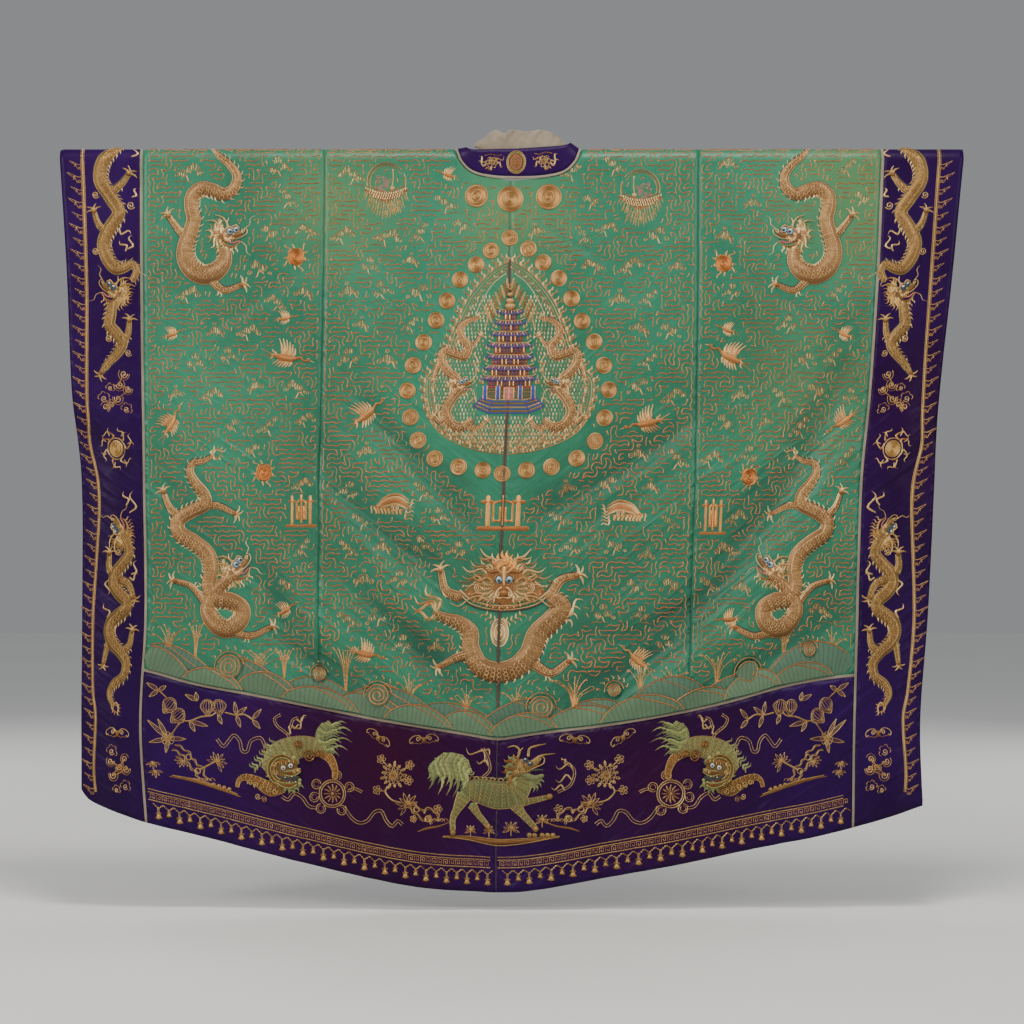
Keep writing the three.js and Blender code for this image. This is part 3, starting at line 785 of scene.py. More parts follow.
# ---- The hem borders: purple satin below the green, in two halves that meet at the middle seam of
# the back, and part at the open front. Fine pleats have set in the weight of the gold at the foot.
front_hem_rows = steps(3, 4, 18)
halves = [
    dict(hand="left", edge=shoulder[3] - seam_gap / 2, seam=shoulder[1] + half_piping, side=-1),
    dict(hand="right", edge=shoulder[3] + seam_gap / 2, seam=shoulder[5] - half_piping, side=1),
]
hem_layers = [dict(face="back", rows=hem_rows, count=92), dict(face="front", rows=front_hem_rows,
                                                               count=60)]
for cut in halves:
    for layer in hem_layers:
        piece = strip(f"purple_hem_{layer['face']}_{cut['hand']}", between(cut),
                      shares_of(cut, layer["count"]),
                      layer["rows"], border_wall, [purple_satin, lining_silk],
                      beside=lambda share, path: share * 690 + 4)
        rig.ride(piece, "root")
        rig.replaces(piece, f"hem_border_{layer['face']}_{cut['hand']}")
        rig.slot(piece, "purple_satin")
        border_pieces[f"hem_{layer['face']}_{cut['hand']}"] = piece

# ---- The white pipings: folded strips of undyed cotton let into the seams between the green and
# the purple, down each side and along the head of the hem borders. Their fold stands up a little.
piping_wall, piping_crown = 2.2, 0.5
white_cotton = Finish("white_cotton", Roughness=0.85, Sheen_Weight=0.2, Specular_IOR_Level=0.3)
soil = white_cotton.noise(14.0, 4.0, 0.6)
twill = white_cotton.noise(1.0, 2.0, 0.5, at=white_cotton.stretched((1400, 1400, 1400)))
white_cotton.feed(Base_Color=white_cotton.mixed((soil * 1.6 - 0.3).clamped(), colour(98, 88, 73),
                                                colour(145, 133, 115)),
                  Normal=white_cotton.bumped(twill, 0.0004, 0.5))


def crowned(share, rise):
    """A folded strip's height over its edges."""
    return rise * (1 - (2 * share - 1) ** 2)


def down_side(piping):
    """The piping that runs down a side border."""
    def at(share, path):
        across = piping + (share - 0.5) * piping_width
        return hung(across, fall_of(across, path), crowned(share, piping_crown))
    return at


def along_hem(cut, facing):
    """The piping that runs along the head of a hem border."""
    def at(share, across_share):
        path = np.where(facing < 0, -2 - share, 3 - share)
        edge, seam = np.full_like(share, cut["edge"]), np.full_like(share, cut["seam"])
        inset = seam_gap / (piping_width + 2 * seam_gap)
        path = mix(path, facing * 2.5, 2 * inset)
        if facing > 0:
            edge = beside_opening(cut["side"], edge, fall_of(edge, path))
        across = mix(edge, seam, across_share)
        return hung(across, fall_of(across, path), crowned(share, piping_crown))
    return at


piping_shares = steps(0, 1, 4)
piping_pieces = {}
for cut in sides:
    piece = strip(f"piping_side_{cut['hand']}", down_side(cut["piping"]), piping_shares, border_rows,
                  piping_wall, [white_cotton])
    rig.ride(piece, "root")
    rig.replaces(piece, f"side_piping_{cut['hand']}")
    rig.slot(piece, "white_cotton")
    piping_pieces[f"side_{cut['hand']}"] = piece
for cut in halves:
    for layer, facing in zip(hem_layers, (-1.0, 1.0)):
        lengthwise = shares_of(cut, layer["count"])[::-1]
        piece = strip(f"piping_hem_{layer['face']}_{cut['hand']}", along_hem(cut, facing), piping_shares,
                      lengthwise, piping_wall, [white_cotton])
        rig.ride(piece, "root")
        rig.replaces(piece, f"hem_piping_{layer['face']}_{cut['hand']}")
        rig.slot(piece, "white_cotton")
        piping_pieces[f"hem_{layer['face']}_{cut['hand']}"] = piece

# ---- The neckband: a stiffened band of purple satin that stands round the back of the neck and runs
# down both edges of the open front, with a narrow white edge let in along its seam.
neckband_wall, neck_piping_wall = 2.6, 2.2
neck_gap = 0.06
neck_runs = [
    dict(name="back", side=1, stations=steps(-shoulder_station + neck_gap, shoulder_station - neck_gap,
                                             72)),
    dict(name="front_left", side=-1, stations=steps(front_hem_station, shoulder_station + neck_gap, 110)),
    dict(name="front_right", side=1, stations=steps(shoulder_station + neck_gap, front_hem_station, 110)),
]
neckband_pieces = {}
for run in neck_runs:
    def band_at(station, share, side=run["side"]):
        hand = np.where(station < 0, -side, side).astype(float)
        bulge = crowned(share, 0.5)[:, None] * np.array([0, -1 if run["name"] == "back" else 1, 0])
        return neck_point(hand, abs(station), share) + bulge

    def edge_at(station, share, side=run["side"]):
        hand = np.where(station < 0, -side, side).astype(float)
        seam = beside_neck(hand, abs(station), neck_seam_gap + (1 - share) * neck_piping_width)
        radial = np.stack([0 * share, seam[:, 1], np.maximum(seam[:, 2], 0)], axis=1)
        radial /= np.linalg.norm(radial, axis=1)[:, None]
        return seam + radial * crowned(share, 0.4)[:, None]

    band = strip(f"neckband_satin_{run['name']}", band_at, run["stations"], steps(0, 1, 8), neckband_wall,
                 [purple_satin], beside=lambda station, share: np.full_like(share, 20))
    edging = strip(f"neck_edging_{run['name']}", edge_at, run["stations"], steps(0, 1, 3),
                   neck_piping_wall, [white_cotton])
    for piece, node, slot in ((band, "neckband", "purple_satin"),
                              (edging, "neck_piping", "white_cotton")):
        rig.ride(piece, "root")
        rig.replaces(piece, f"{node}_{run['name']}")
        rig.slot(piece, slot)
    neckband_pieces[run["name"]] = band
    piping_pieces[f"neck_{run['name']}"] = edging

# ---- The collar guard: a strip of soft undyed cotton basted inside the back of the neckband to keep
# it clean. Worn and crumpled, it stands up unevenly above the band.
guard_wall, guard_bulge = 1.8, 3.0
guard = table(
    "across foot_y foot_z top_y top_z",
    (-70, -6, 25, -3, 31), (-52, -13.5, 18, -6, 43), (-30, -15.6, 17, -9, 57), (-14, -16.2, 17, -14, 50),
    (-4, -16.2, 17, -8, 58), (28, -16.2, 17, -12, 54), (47, -16.2, 17, -6, 58), (74, -14.6, 18, -4, 54),
    (90, -9.5, 22, -3, 43), (100, -2, 27, 1, 33),
)


def guard_at(across, share):
    """A point of the crumpled guard: share 0 is its foot behind the band, 1 its top."""
    column = {name: read(guard, "across", across, name) for name in guard}
    y = mix(column["foot_y"], column["top_y"], share) - guard_bulge * np.sin(math.pi * share)
    z = mix(column["foot_z"], column["top_z"], share)
    crumple = np.sin(across / 4.3 + 1.8 * np.sin(z / 5.5)) + 0.7 * np.sin(across / 2.7 - z / 4.1)
    lean = np.sin(across / 9.0 + z / 6.0)
    return np.stack([across + 0.8 * lean * share, y + (1.5 * crumple + 1.4 * lean) * share**1.5, z],
                    axis=1)


guard_piece = strip("cotton_guard", guard_at, steps(-70, 100, 80), steps(0, 1, 16), guard_wall,
                    [white_cotton])
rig.ride(guard_piece, "root")
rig.replaces(guard_piece, "collar_guard")
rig.slot(guard_piece, "white_cotton")

# ---- The pole: a plain turned pole of pale wood through the shoulder fold, its ends softened.
pole_segments, pole_softening = 72, 2.0
pole_wood = Finish("pole_wood", Roughness=0.55)
rings = pole_wood.noise(1.0, 4.0, 0.6, at=pole_wood.stretched((3, 60, 60)))
pores = pole_wood.noise(1.0, 2.0, 0.5, at=pole_wood.stretched((40, 900, 900)))
pole_wood.feed(Base_Color=pole_wood.mixed((rings * 1.5 - 0.2).clamped(), colour(120, 88, 56),
                                          colour(176, 142, 98)),
               Roughness=0.42 + pores * 0.25, Normal=pole_wood.bumped(pores, 0.0003, 0.4))
shape = bmesh.new()
bmesh.ops.create_cone(shape, cap_ends=True, segments=pole_segments, radius1=pole_radius * MM,
                      radius2=pole_radius * MM, depth=pole_high[0] - pole_low[0])
ends = [edge for edge in shape.edges if abs(edge.verts[0].co.z - edge.verts[1].co.z) < 1e-6]
bmesh.ops.bevel(shape, geom=ends, affect="EDGES", offset=pole_softening * MM, segments=3, profile=0.5,
                material=-1)
bmesh.ops.rotate(shape, verts=shape.verts, matrix=Matrix.Rotation(math.pi / 2, 3, "Y"))
bmesh.ops.recalc_face_normals(shape, faces=shape.faces)
pole_mesh = bpy.data.meshes.new("turned_pole")
shape.to_mesh(pole_mesh)
shape.free()
pole_mesh.materials.append(pole_wood.material)
pole_mesh.shade_smooth()
pole_mesh.set_sharp_from_angle(angle=math.radians(40))
pole = in_scene("turned_pole", pole_mesh)
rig.ride(pole, "root")
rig.replaces(pole, "hanging_pole")
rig.slot(pole, "pole_wood")

# ---- The gold discs: flat spirals of gilt-paper thread, laid down in pairs and couched with fine red
# silk, three under the neckband and twenty-eight in a pear-shaped ring round the pagoda. All the
# embroidery is drawn the same way: lines on the flat cloth, laid over its folds as raised threads.
shuffle = np.random.default_rng(41)


def dye(level, upright=None, silk=False):
    """A thread's colour where it runs level and, where that differs, where it runs upright: the brighter upright
    colour is a painted glint.
    """
    upright = upright or level
    return dict(level=np.array(colour(*level)[:3]), upright=np.array(colour(*upright)[:3]), silk=silk)


# Each gold is duller where it runs level and brighter where it runs upright: a painted glint, as the side lamps would
# light it.
gold = dye((142, 96, 54), (216, 172, 110))
pale_gold = dye((182, 142, 92), (238, 204, 148))
dull_gold = dye((136, 72, 38), (196, 146, 88))
body_gold = dye((112, 80, 46), (146, 112, 70))
ink = dye((22, 26, 22), silk=True)


def smoothed(points, widths, closed=False, step=4.0):
    """A smooth line through the points, with a point about every step mm, and its widths."""
    points, widths = np.asarray(points, complex), np.asarray(widths, float)
    if closed:
        points, widths = np.append(points, points[0]), np.append(widths, widths[0])
        before, after = points[-2], points[1]
    else:
        before, after = 2 * points[0] - points[1], 2 * points[-1] - points[-2]
    guides = np.concatenate([[before], points, [after]])
    counts = np.maximum(np.ceil(abs(np.diff(points)) / step).astype(int), 1)
    span = np.repeat(np.arange(len(counts)), counts)
    share = (np.arange(len(span)) - np.repeat(np.cumsum(counts) - counts, counts)) / np.repeat(counts,
                                                                                               counts)
    if not closed:
        span, share = np.append(span, len(counts) - 1), np.append(share, 1.0)
    p, q, r, s = (guides[span + offset] for offset in range(4))
    line = 0.5 * (2 * q + (r - p) * share + (2 * p - 5 * q + 4 * r - s) * share**2
                  + (3 * q - p - 3 * r + s) * share**3)
    return line, mix(widths[span], widths[np.minimum(span + 1, len(widths) - 1)], share)


longest_straight = 12.0


class Pen:
    """Draws threads flat, as mm across + 1j * mm of fall. at() gives a pen whose paper is moved,
    sized, turned (clockwise, in degrees) or mirrored from left to right."""

    def __init__(self, strokes=None, home=0, scale=1.0, flip=False):
        self.strokes = [] if strokes is None else strokes
        self.home, self.scale, self.flip = home, scale, flip

    def place(self, points):
        points = np.asarray(points, complex)
        return self.home + self.scale * (points.conjugate() if self.flip else points)

    def at(self, spot, size=1.0, turn=0.0, mirror=False):
        scale = size * np.exp(1j * math.radians(turn)) * (-1 if mirror else 1)
        return Pen(self.strokes, self.place(spot),
                   self.scale * (scale.conjugate() if self.flip else scale), self.flip != mirror)

    def thread(self, points, wide, dyed=gold, ends=(0, 0), lift=0.0, high=0.42, closed=False, step=5.0,
               smooth=True):
        """One couched thread or padded shape: wide in mm, high as a share of its width, its width
        swelling from nothing over the first and the last share of its length that ends gives. It
        lies on the cloth, or raised by lift."""
        size = abs(self.scale)
        line = self.place(points)
        widths = np.broadcast_to(np.asarray(wide, float) * size, line.shape).copy()
        lifts = np.broadcast_to(np.asarray(lift, float) * size, line.shape).copy()
        if smooth and (len(line) > 2 or max(ends) > 0):
            lifts = smoothed(line, lifts, closed, step)[1]
            line, widths = smoothed(line, widths, closed, step)
        elif not closed and abs(np.diff(line)).max() > longest_straight:
            counts = np.ceil(abs(np.diff(line)) / longest_straight)
            place = np.concatenate([np.arange(count) / count + start for start,
                                    count in enumerate(counts)])
            place = np.append(place, len(line) - 1)
            line, widths, lifts = (np.interp(place, np.arange(len(line)), values) for values in (line,
                                                                                                 widths,
                                                                                                 lifts))
        along = np.concatenate([[0], np.cumsum(abs(np.diff(line)))])
        way = along / max(along[-1], 1e-6)
        if ends[0]:
            widths *= np.sqrt(1 - (1 - np.clip(way / ends[0], 0, 1)) ** 2) * 0.94 + 0.06
        if ends[1]:
            widths *= np.clip((1 - way) / ends[1], 0, 1) ** 0.75 * 0.94 + 0.06
        heading = np.gradient(line) if len(line) > 1 else np.ones(1, complex)
        if not closed:
            nose = [line[0] - 0.3 * widths[0] * heading[0] / abs(heading[0])]
            tail = [line[-1] + 0.3 * widths[-1] * heading[-1] / abs(heading[-1])]
            line = np.concatenate([nose, line, tail])
            widths = np.concatenate([[0], widths, [0]])
            along = np.concatenate([along[:1], along, along[-1:]])
            lifts = np.concatenate([lifts[:1], lifts, lifts[-1:]])
            heading = np.concatenate([heading[:1], heading, heading[-1:]])
        # Where the thread runs upright its colour turns to the brighter one: a painted glint.
        upright = (heading.imag**2 / np.maximum(abs(heading) ** 2, 1e-9))[:, None]
        tint = (dyed["level"] * (1 - upright) + dyed["upright"] * upright) * shuffle.uniform(0.88, 1.1)
        self.strokes.append(dict(line=line, half=widths / 2, along=along, tint=tint, lift=lifts,
                                 high=high, closed=closed, silk=dyed["silk"], broad=widths.max() > 7.0))
        return self


thread_profile = [(-1, 0), (0, 0.84), (1, 0)]
padded_profile = [(-1, 0), (-0.72, 0.56), (0, 0.84), (0.72, 0.56), (1, 0)]
cloth_face, sunk = 1.1, 0.25


def swept(strokes, profile):
    """One mesh of all the strokes, each swept along its line with this profile, still flat."""
    outline = bpy.data.curves.new("profile", "CURVE")
    rim = outline.splines.new("POLY")
    rim.points.add(len(profile) - 1)
    rim.points.foreach_set("co", np.array([(x, y, 0, 1) for x, y in profile], np.float32).ravel())
    rim.use_cyclic_u = True
    rim_piece = in_scene("profile", outline)
    curve = bpy.data.curves.new("strokes", "CURVE")
    curve.dimensions = "2D"
    curve.fill_mode = "NONE"
    curve.bevel_mode, curve.bevel_object, curve.use_fill_caps = "OBJECT", rim_piece, False
    for stroke in strokes:
        spline = curve.splines.new("POLY")
        spline.points.add(len(stroke["line"]) - 1)
        spot = np.zeros((len(stroke["line"]), 4), np.float32)
        spot[:, 0], spot[:, 1], spot[:, 3] = stroke["line"].real, -stroke["line"].imag, 1
        spline.points.foreach_set("co", spot.ravel())
        spline.points.foreach_set("radius", stroke["half"].astype(np.float32))
        spline.use_cyclic_u = stroke["closed"]
    strokes_piece = in_scene("strokes", curve)
    view = bpy.context.evaluated_depsgraph_get()
    mesh = bpy.data.meshes.new_from_object(strokes_piece.evaluated_get(view))
    for piece, data in ((strokes_piece, curve), (rim_piece, outline)):
        bpy.data.objects.remove(piece)
        bpy.data.curves.remove(data)
    return mesh


def laid(name, strokes, finish, onto=hung, face=cloth_face):
    """Lays strokes over the cloth: every point moves out from the cloth's face by its own height."""
    shape = bmesh.new()
    for profile, chosen in ((thread_profile, [s for s in strokes if not s["broad"]]),
                            (padded_profile, [s for s in strokes if s["broad"]])):
        if not chosen:
            continue
        mesh = swept(chosen, profile)
        count = len(profile)
        flat = np.empty(len(mesh.vertices) * 3, np.float32)
        mesh.vertices.foreach_get("co", flat)
        flat = flat.reshape(-1, 3).astype(float)
        lengths_of = np.array([len(s["line"]) * count for s in chosen])
        high = np.repeat([s["high"] for s in chosen], lengths_of) * 2.38
        lift = np.repeat(np.concatenate([s["lift"] for s in chosen]), count)
        height = flat[:, 2] * high + lift
        points = onto(flat[:, 0], -flat[:, 1], face - sunk + height)
        mesh.vertices.foreach_set("co", (points * MM).astype(np.float32).ravel())
        # The dye attribute carries each thread's colour with its painted glint.
        tint = np.repeat(np.concatenate([s["tint"] for s in chosen]), count, axis=0)
        tint = np.concatenate([tint, np.ones((len(tint), 1))], axis=1)
        mesh.attributes.new("dye", "FLOAT_COLOR", "POINT").data.foreach_set("color",
                                                                            tint.astype(np.float32).ravel())
        along = np.repeat(np.concatenate([s["along"] for s in chosen]), count)
        around = np.tile(np.linspace(0, 1, count), len(along) // count)
        mesh.attributes.new("twist", "FLOAT", "POINT").data.foreach_set(
            "value", (along + 0.6 * around).astype(np.float32))
        shape.from_mesh(mesh)
        bpy.data.meshes.remove(mesh)
    bmesh.ops.remove_doubles(shape, verts=shape.verts, dist=1e-7)
    mesh = bpy.data.meshes.new(name)
    shape.to_mesh(mesh)
    shape.free()
    mesh.materials.append(finish.material)
    mesh.shade_smooth()
    mesh.set_sharp_from_angle(angle=math.radians(70))
    return in_scene(name, mesh)


def threads(name, metallic, roughness, sheen, gap):
    """Thread that takes its colour from its dye, with the painted glint of its upright runs: fine turns across it, and
    a stitch every gap mm.
    """
    finish = Finish(name, Metallic=metallic, Sheen_Weight=sheen, Specular_IOR_Level=0.5)
    tint = finish.node("ShaderNodeAttribute", dict(attribute_name="dye"), output=0)
    twist = finish.node("ShaderNodeAttribute", dict(attribute_name="twist"), output=2)
    turns = (twist * (2 * math.pi / 1.15)).math("SINE", twist * (2 * math.pi / 1.15))
    couched = ((twist * (2 * math.pi / gap)).math("SINE",
                                                  twist * (2 * math.pi / gap)) * 6 - 4.8).clamped()
    worn = finish.noise(55.0, 3.0, 0.6)
    patchy = finish.noise(9.0, 2.0, 0.5)
    light = finish.node("ShaderNodeVectorMath", dict(operation="SCALE"), tint,
                        Scale=0.62 + worn * 0.5 + patchy * 0.3)
    dark = finish.node("ShaderNodeVectorMath", dict(operation="MULTIPLY"), tint, (0.5, 0.3, 0.24))
    finish.feed(Base_Color=finish.mixed(couched * 0.7, light, dark), Roughness=roughness + worn * 0.18,
                Normal=finish.bumped(turns * 0.5 - couched * 0.9, 0.00022, 0.8))
    return finish


gold_finish = threads("gold_thread", metallic=0.62, roughness=0.34, sheen=0.0, gap=4.6)
silk_finish = threads("coloured_silk", metallic=0.0, roughness=0.48, sheen=0.3, gap=9.0)
covered = []


def embroidered(name, pen, onto=hung, face=cloth_face, keeps_clear=True, aged=1.0):
    """Makes the gold and the silk pieces of what a pen has drawn, and keeps the ground clear of it."""
    made = []
    for kind, finish, slot in ((False, gold_finish, "gold_thread"), (True, silk_finish, "coloured_silk")):
        strokes = [stroke for stroke in pen.strokes if stroke["silk"] == kind]
        if strokes:
            for stroke in [] if kind else strokes:
                stroke["tint"] = stroke["tint"] * aged
            piece = laid(f"{name}_{'silk' if kind else 'gold'}", strokes, finish, onto, face)
            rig.ride(piece, "root")
            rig.slot(piece, slot)
            made.append(piece)
    if keeps_clear:
        covered.extend((stroke["line"], stroke["half"]) for stroke in pen.strokes)
    return made


mirror_line = 2 * shoulder[3]


def both_sides(pen):
    """The same pen for the left half of the back, and mirrored for the right."""
    return pen.at(0), pen.at(mirror_line, mirror=True)


# Round each disc the upright colour paints bright glints at the left and right, and the level colour leaves the top
# and bottom dull.
disc_gold = dye((148, 110, 64), (222, 184, 126))


def disc(pen, centre, radius, dyed=disc_gold, wide=1.9):
    """Rings of thread, packed from the rim to a small eye."""
    rings = max(int(radius / (wide * 0.86)), 2)
    for ring in range(rings):
        reach = radius * (rings - ring - 0.45) / rings
        sides_of = max(int(7 + reach * 1.2), 8)
        turn = np.exp(1j * (np.arange(sides_of) * 2 * math.pi / sides_of + shuffle.uniform(0, 6)))
        pen.thread(centre + reach * turn, wide, dyed, closed=True, smooth=False, high=0.5,
                   lift=0.25 + 0.5 * (1 - ring / rings))


neck_discs = table("across fall radius", (-66, 68, 21.5), (-2, 74, 24.5), (70, 70, 24))
ring_discs = table(
    "out fall", (35, 170), (63, 196), (93, 224), (117, 263), (137, 304), (160, 345), (179, 386),
                (189, 436), (182, 487), (166, 527), (133, 561), (87, 576), (41, 585))
ring_radius = 15.6
disc_pen = Pen()
for across, fall, radius in zip(*neck_discs.values()):
    disc(disc_pen, across + 1j * fall, radius)
disc(disc_pen, shoulder[3] + 147j, ring_radius)
disc(disc_pen, shoulder[3] - 4 + 591j, ring_radius)
for half in both_sides(disc_pen):
    for out, fall in zip(*ring_discs.values()):
        disc(half, shoulder[3] - out + 1j * (fall + shuffle.uniform(-3, 3)), ring_radius)
disc_pieces = embroidered("disc", disc_pen)

# ---- The four dragons on the green, two coiled below the shoulders and two climbing from the hem:
# padded bodies under rows of gold scales, with ribbed bellies, spiked backs and blown silk manes.
pale_eye = dye((112, 156, 178), silk=True)
white_silk = dye((216, 214, 206), silk=True)
olive_silk = dye((86, 98, 44), (108, 118, 62), silk=True)
rose_silk = dye((176, 92, 84), silk=True)
claw_spread = (-64, -24, 16, 56)


def arc(centre, radius, first, last, count=6):
    """Points round a centre between two bearings in degrees: 0 is right, 90 is down."""
    return centre + radius * np.exp(1j * np.radians(np.linspace(first, last, count)))


def blob(pen, centre, radius, dyed, tall=1.0, high=0.3, lift=0.0):
    """A small padded disc or oval."""
    bearing = np.radians(np.linspace(12, 168, 7 if radius * abs(pen.scale) > 4 else 4))
    pen.thread(centre - radius * np.cos(bearing), 2 * radius * tall * np.sin(bearing), dyed,
               high=high / tall, lift=lift, smooth=False)


def curl(pen, centre, radius, first, turns, wide, dyed=gold, tail=(), lift=0.0):
    """A thread that winds inward from its rim, after a tail of points that leads to it."""
    share = np.linspace(0, 1, int(7 * abs(turns)) + 2)
    bearing = math.radians(first) + 2 * math.pi * turns * share
    wound = centre + radius * (1 - 0.82 * share) * np.exp(1j * bearing)
    pen.thread(np.concatenate([np.array(tail, complex), wound]), wide, dyed, lift=lift, step=3.6)


def flame(pen, root, tip, bend=0.2, wide=3.2, dyed=gold, lift=0.0):
    """A tongue of flame or a lock of hair: an S from root to tip that thins to nothing."""
    run = tip - root
    line = root + run * np.array([0, 0.32, 0.66, 1]) + 1j * run * bend * np.array([0, 1, -0.45, 0.2])
    pen.thread(line, np.array([0.7, 1, 0.75, 0.3]) * wide, dyed, ends=(0, 0.3), lift=lift, high=0.34,
               step=max(3.2, abs(run) * abs(pen.scale) / 6))


def ahead_of(line):
    """The way a line runs at each of its points, as a unit step."""
    heading = np.gradient(line)
    return heading / abs(heading)


def body(pen, points, widths, belly=1, skin=body_gold, scale=6.4, spikes=True, dark=True):
    """A snake's body: padded, scaled, with a ribbed belly on one side, spikes along the back and, where dark is set,
    dark silk lines of painted shadow just outside its edges.
    """
    line, wide = smoothed(points, widths, step=4.0)
    out = 1j * ahead_of(line)
    rise = 0.17
    pen.thread(line, wide, skin, high=rise, smooth=False)
    top = wide * rise
    # Dark silk lines just outside both edges paint the shadow that the padded body casts on the cloth.
    if dark:
        pen.thread(line - belly * out * (wide / 2 + 1.6), 2.2, ink, smooth=False, high=0.3)
        pen.thread(line + belly * out * (wide / 2 + 1.2), 1.4, ink, smooth=False, high=0.3)
    pen.thread(line - belly * out * (wide / 2 - 0.4), 2.0, gold, smooth=False)
    pen.thread(line + belly * out * (wide / 2 - 0.4), 2.0, pale_gold, smooth=False)
    pen.thread(line + belly * out * wide * 0.2, 1.5, pale_gold, lift=top * 0.72, smooth=False)
    way = np.concatenate([[0], np.cumsum(abs(np.diff(line)))])
    for row, place in enumerate(np.arange(2.0, way[-1] - 1, scale * 0.78)):
        centre = np.interp(place, way, line.real) + 1j * np.interp(place, way, line.imag)
        side = np.interp(place, way, out.real) + 1j * np.interp(place, way, out.imag)
        half = np.interp(place, way, wide) / 2
        scallops = max(int(round(1.25 * half / scale)), 1)
        share = np.linspace(0, 1, 3 * scallops + 1)
        reach = -0.88 + 1.24 * share
        sway = abs(np.sin(math.pi * (scallops * share + 0.5 * (row % 2))))
        crown = 2 * half * rise * np.where(abs(reach) < 0.72, 1 - 0.46 * abs(reach),
                                           2.4 * (1 - abs(reach)))
        pen.thread(centre + belly * side * half * reach - 1j * side * scale * 0.62 * sway, 1.25,
                   pale_gold if row % 3 else gold, lift=crown - 0.25, high=0.6, smooth=False)
        rib = np.array([0.44, 0.9])
        pen.thread(centre + belly * side * half * rib - 1j * side * np.array([0, 1.5]), 1.6, gold,
                   lift=2 * half * rise * np.array([0.62, 0.12]), smooth=False)
        if spikes and row % 2 == 0 and half > 4:
            root = centre - belly * side * (half + 0.5)
            pen.thread([root, root - belly * side * 3.4 - 1j * side * 2.6,
                        root - belly * side * 5.2 - 1j * side * 6],
                       np.array([3.6, 2.6, 0.8]) * min(half / 11, 1), pale_gold, smooth=False)


def claw(pen, wrist, toward, size=1.0):
    """A spread foot of four toes with hooked talons."""
    toward = toward / abs(toward)
    for spread in claw_spread:
        ahead = toward * np.exp(1j * math.radians(spread)) * size
        hook = ahead * np.array([0, 6, 12, 17]) + 1j * ahead * np.array([0, -1.4, 0.5,
                                                                         5]) * (1 if spread > 0 else -1)
        pen.thread(wrist + hook, np.array([5.4, 4.4, 3.4, 1.0]) * size, pale_gold, lift=0.4)
    blob(pen, wrist, 4.6 * size, gold, high=0.5)


def limb(pen, points, wide, size=1.0, belly=1):
    """A leg from its shoulder to its foot, with hair blown back from the elbow."""
    points = np.array(points, complex)
    body(pen, points, wide * np.linspace(1, 0.55, len(points)), belly, scale=5.2, spikes=False)
    claw(pen, points[-1], points[-1] - points[-2], size)
    elbow = points[len(points) // 2]
    back = -(points[-1] - elbow) / abs(points[-1] - elbow)
    for spread, reach in ((-38, 17), (-8, 22), (24, 15)):
        tip = elbow + back * reach * size * np.exp(1j * math.radians(spread))
        flame(pen, elbow, tip, 0.25, 3.0 * size, pale_gold if spread else olive_silk)


def tail_fan(pen, root, away, size=1.0, hair=olive_silk):
    """The tufts that fan out at the end of a tail."""
    for count, spread in enumerate((-58, -36, -16, 0, 18, 38, 60)):
        reach = (32 - abs(spread) * 0.2) * size
        tip = root + away / abs(away) * reach * np.exp(1j * math.radians(spread))
        flame(pen, root, tip, 0.22 * (1 if spread > 0 else -1), 3.6 * size,
              (pale_gold, hair, gold)[count % 3])


def eye(pen, spot, radius, look=0j, iris=pale_eye, lift=2.0):
    """A padded eye in a dark rim, with a black pupil that looks a little to one side."""
    blob(pen, spot, radius * 1.1, iris, high=0.1, lift=lift)
    pen.thread(arc(spot, radius * 1.16, 0, 330, 12), radius * 0.3, ink, closed=True, smooth=False,
               lift=lift)
    blob(pen, spot - 0.5j * radius - 0.3 * look, radius * 0.42, white_silk, high=0.1,
         lift=lift + 0.2 * radius)
    blob(pen, spot + look, radius * 0.56, ink, high=0.14, lift=lift + 0.22 * radius)


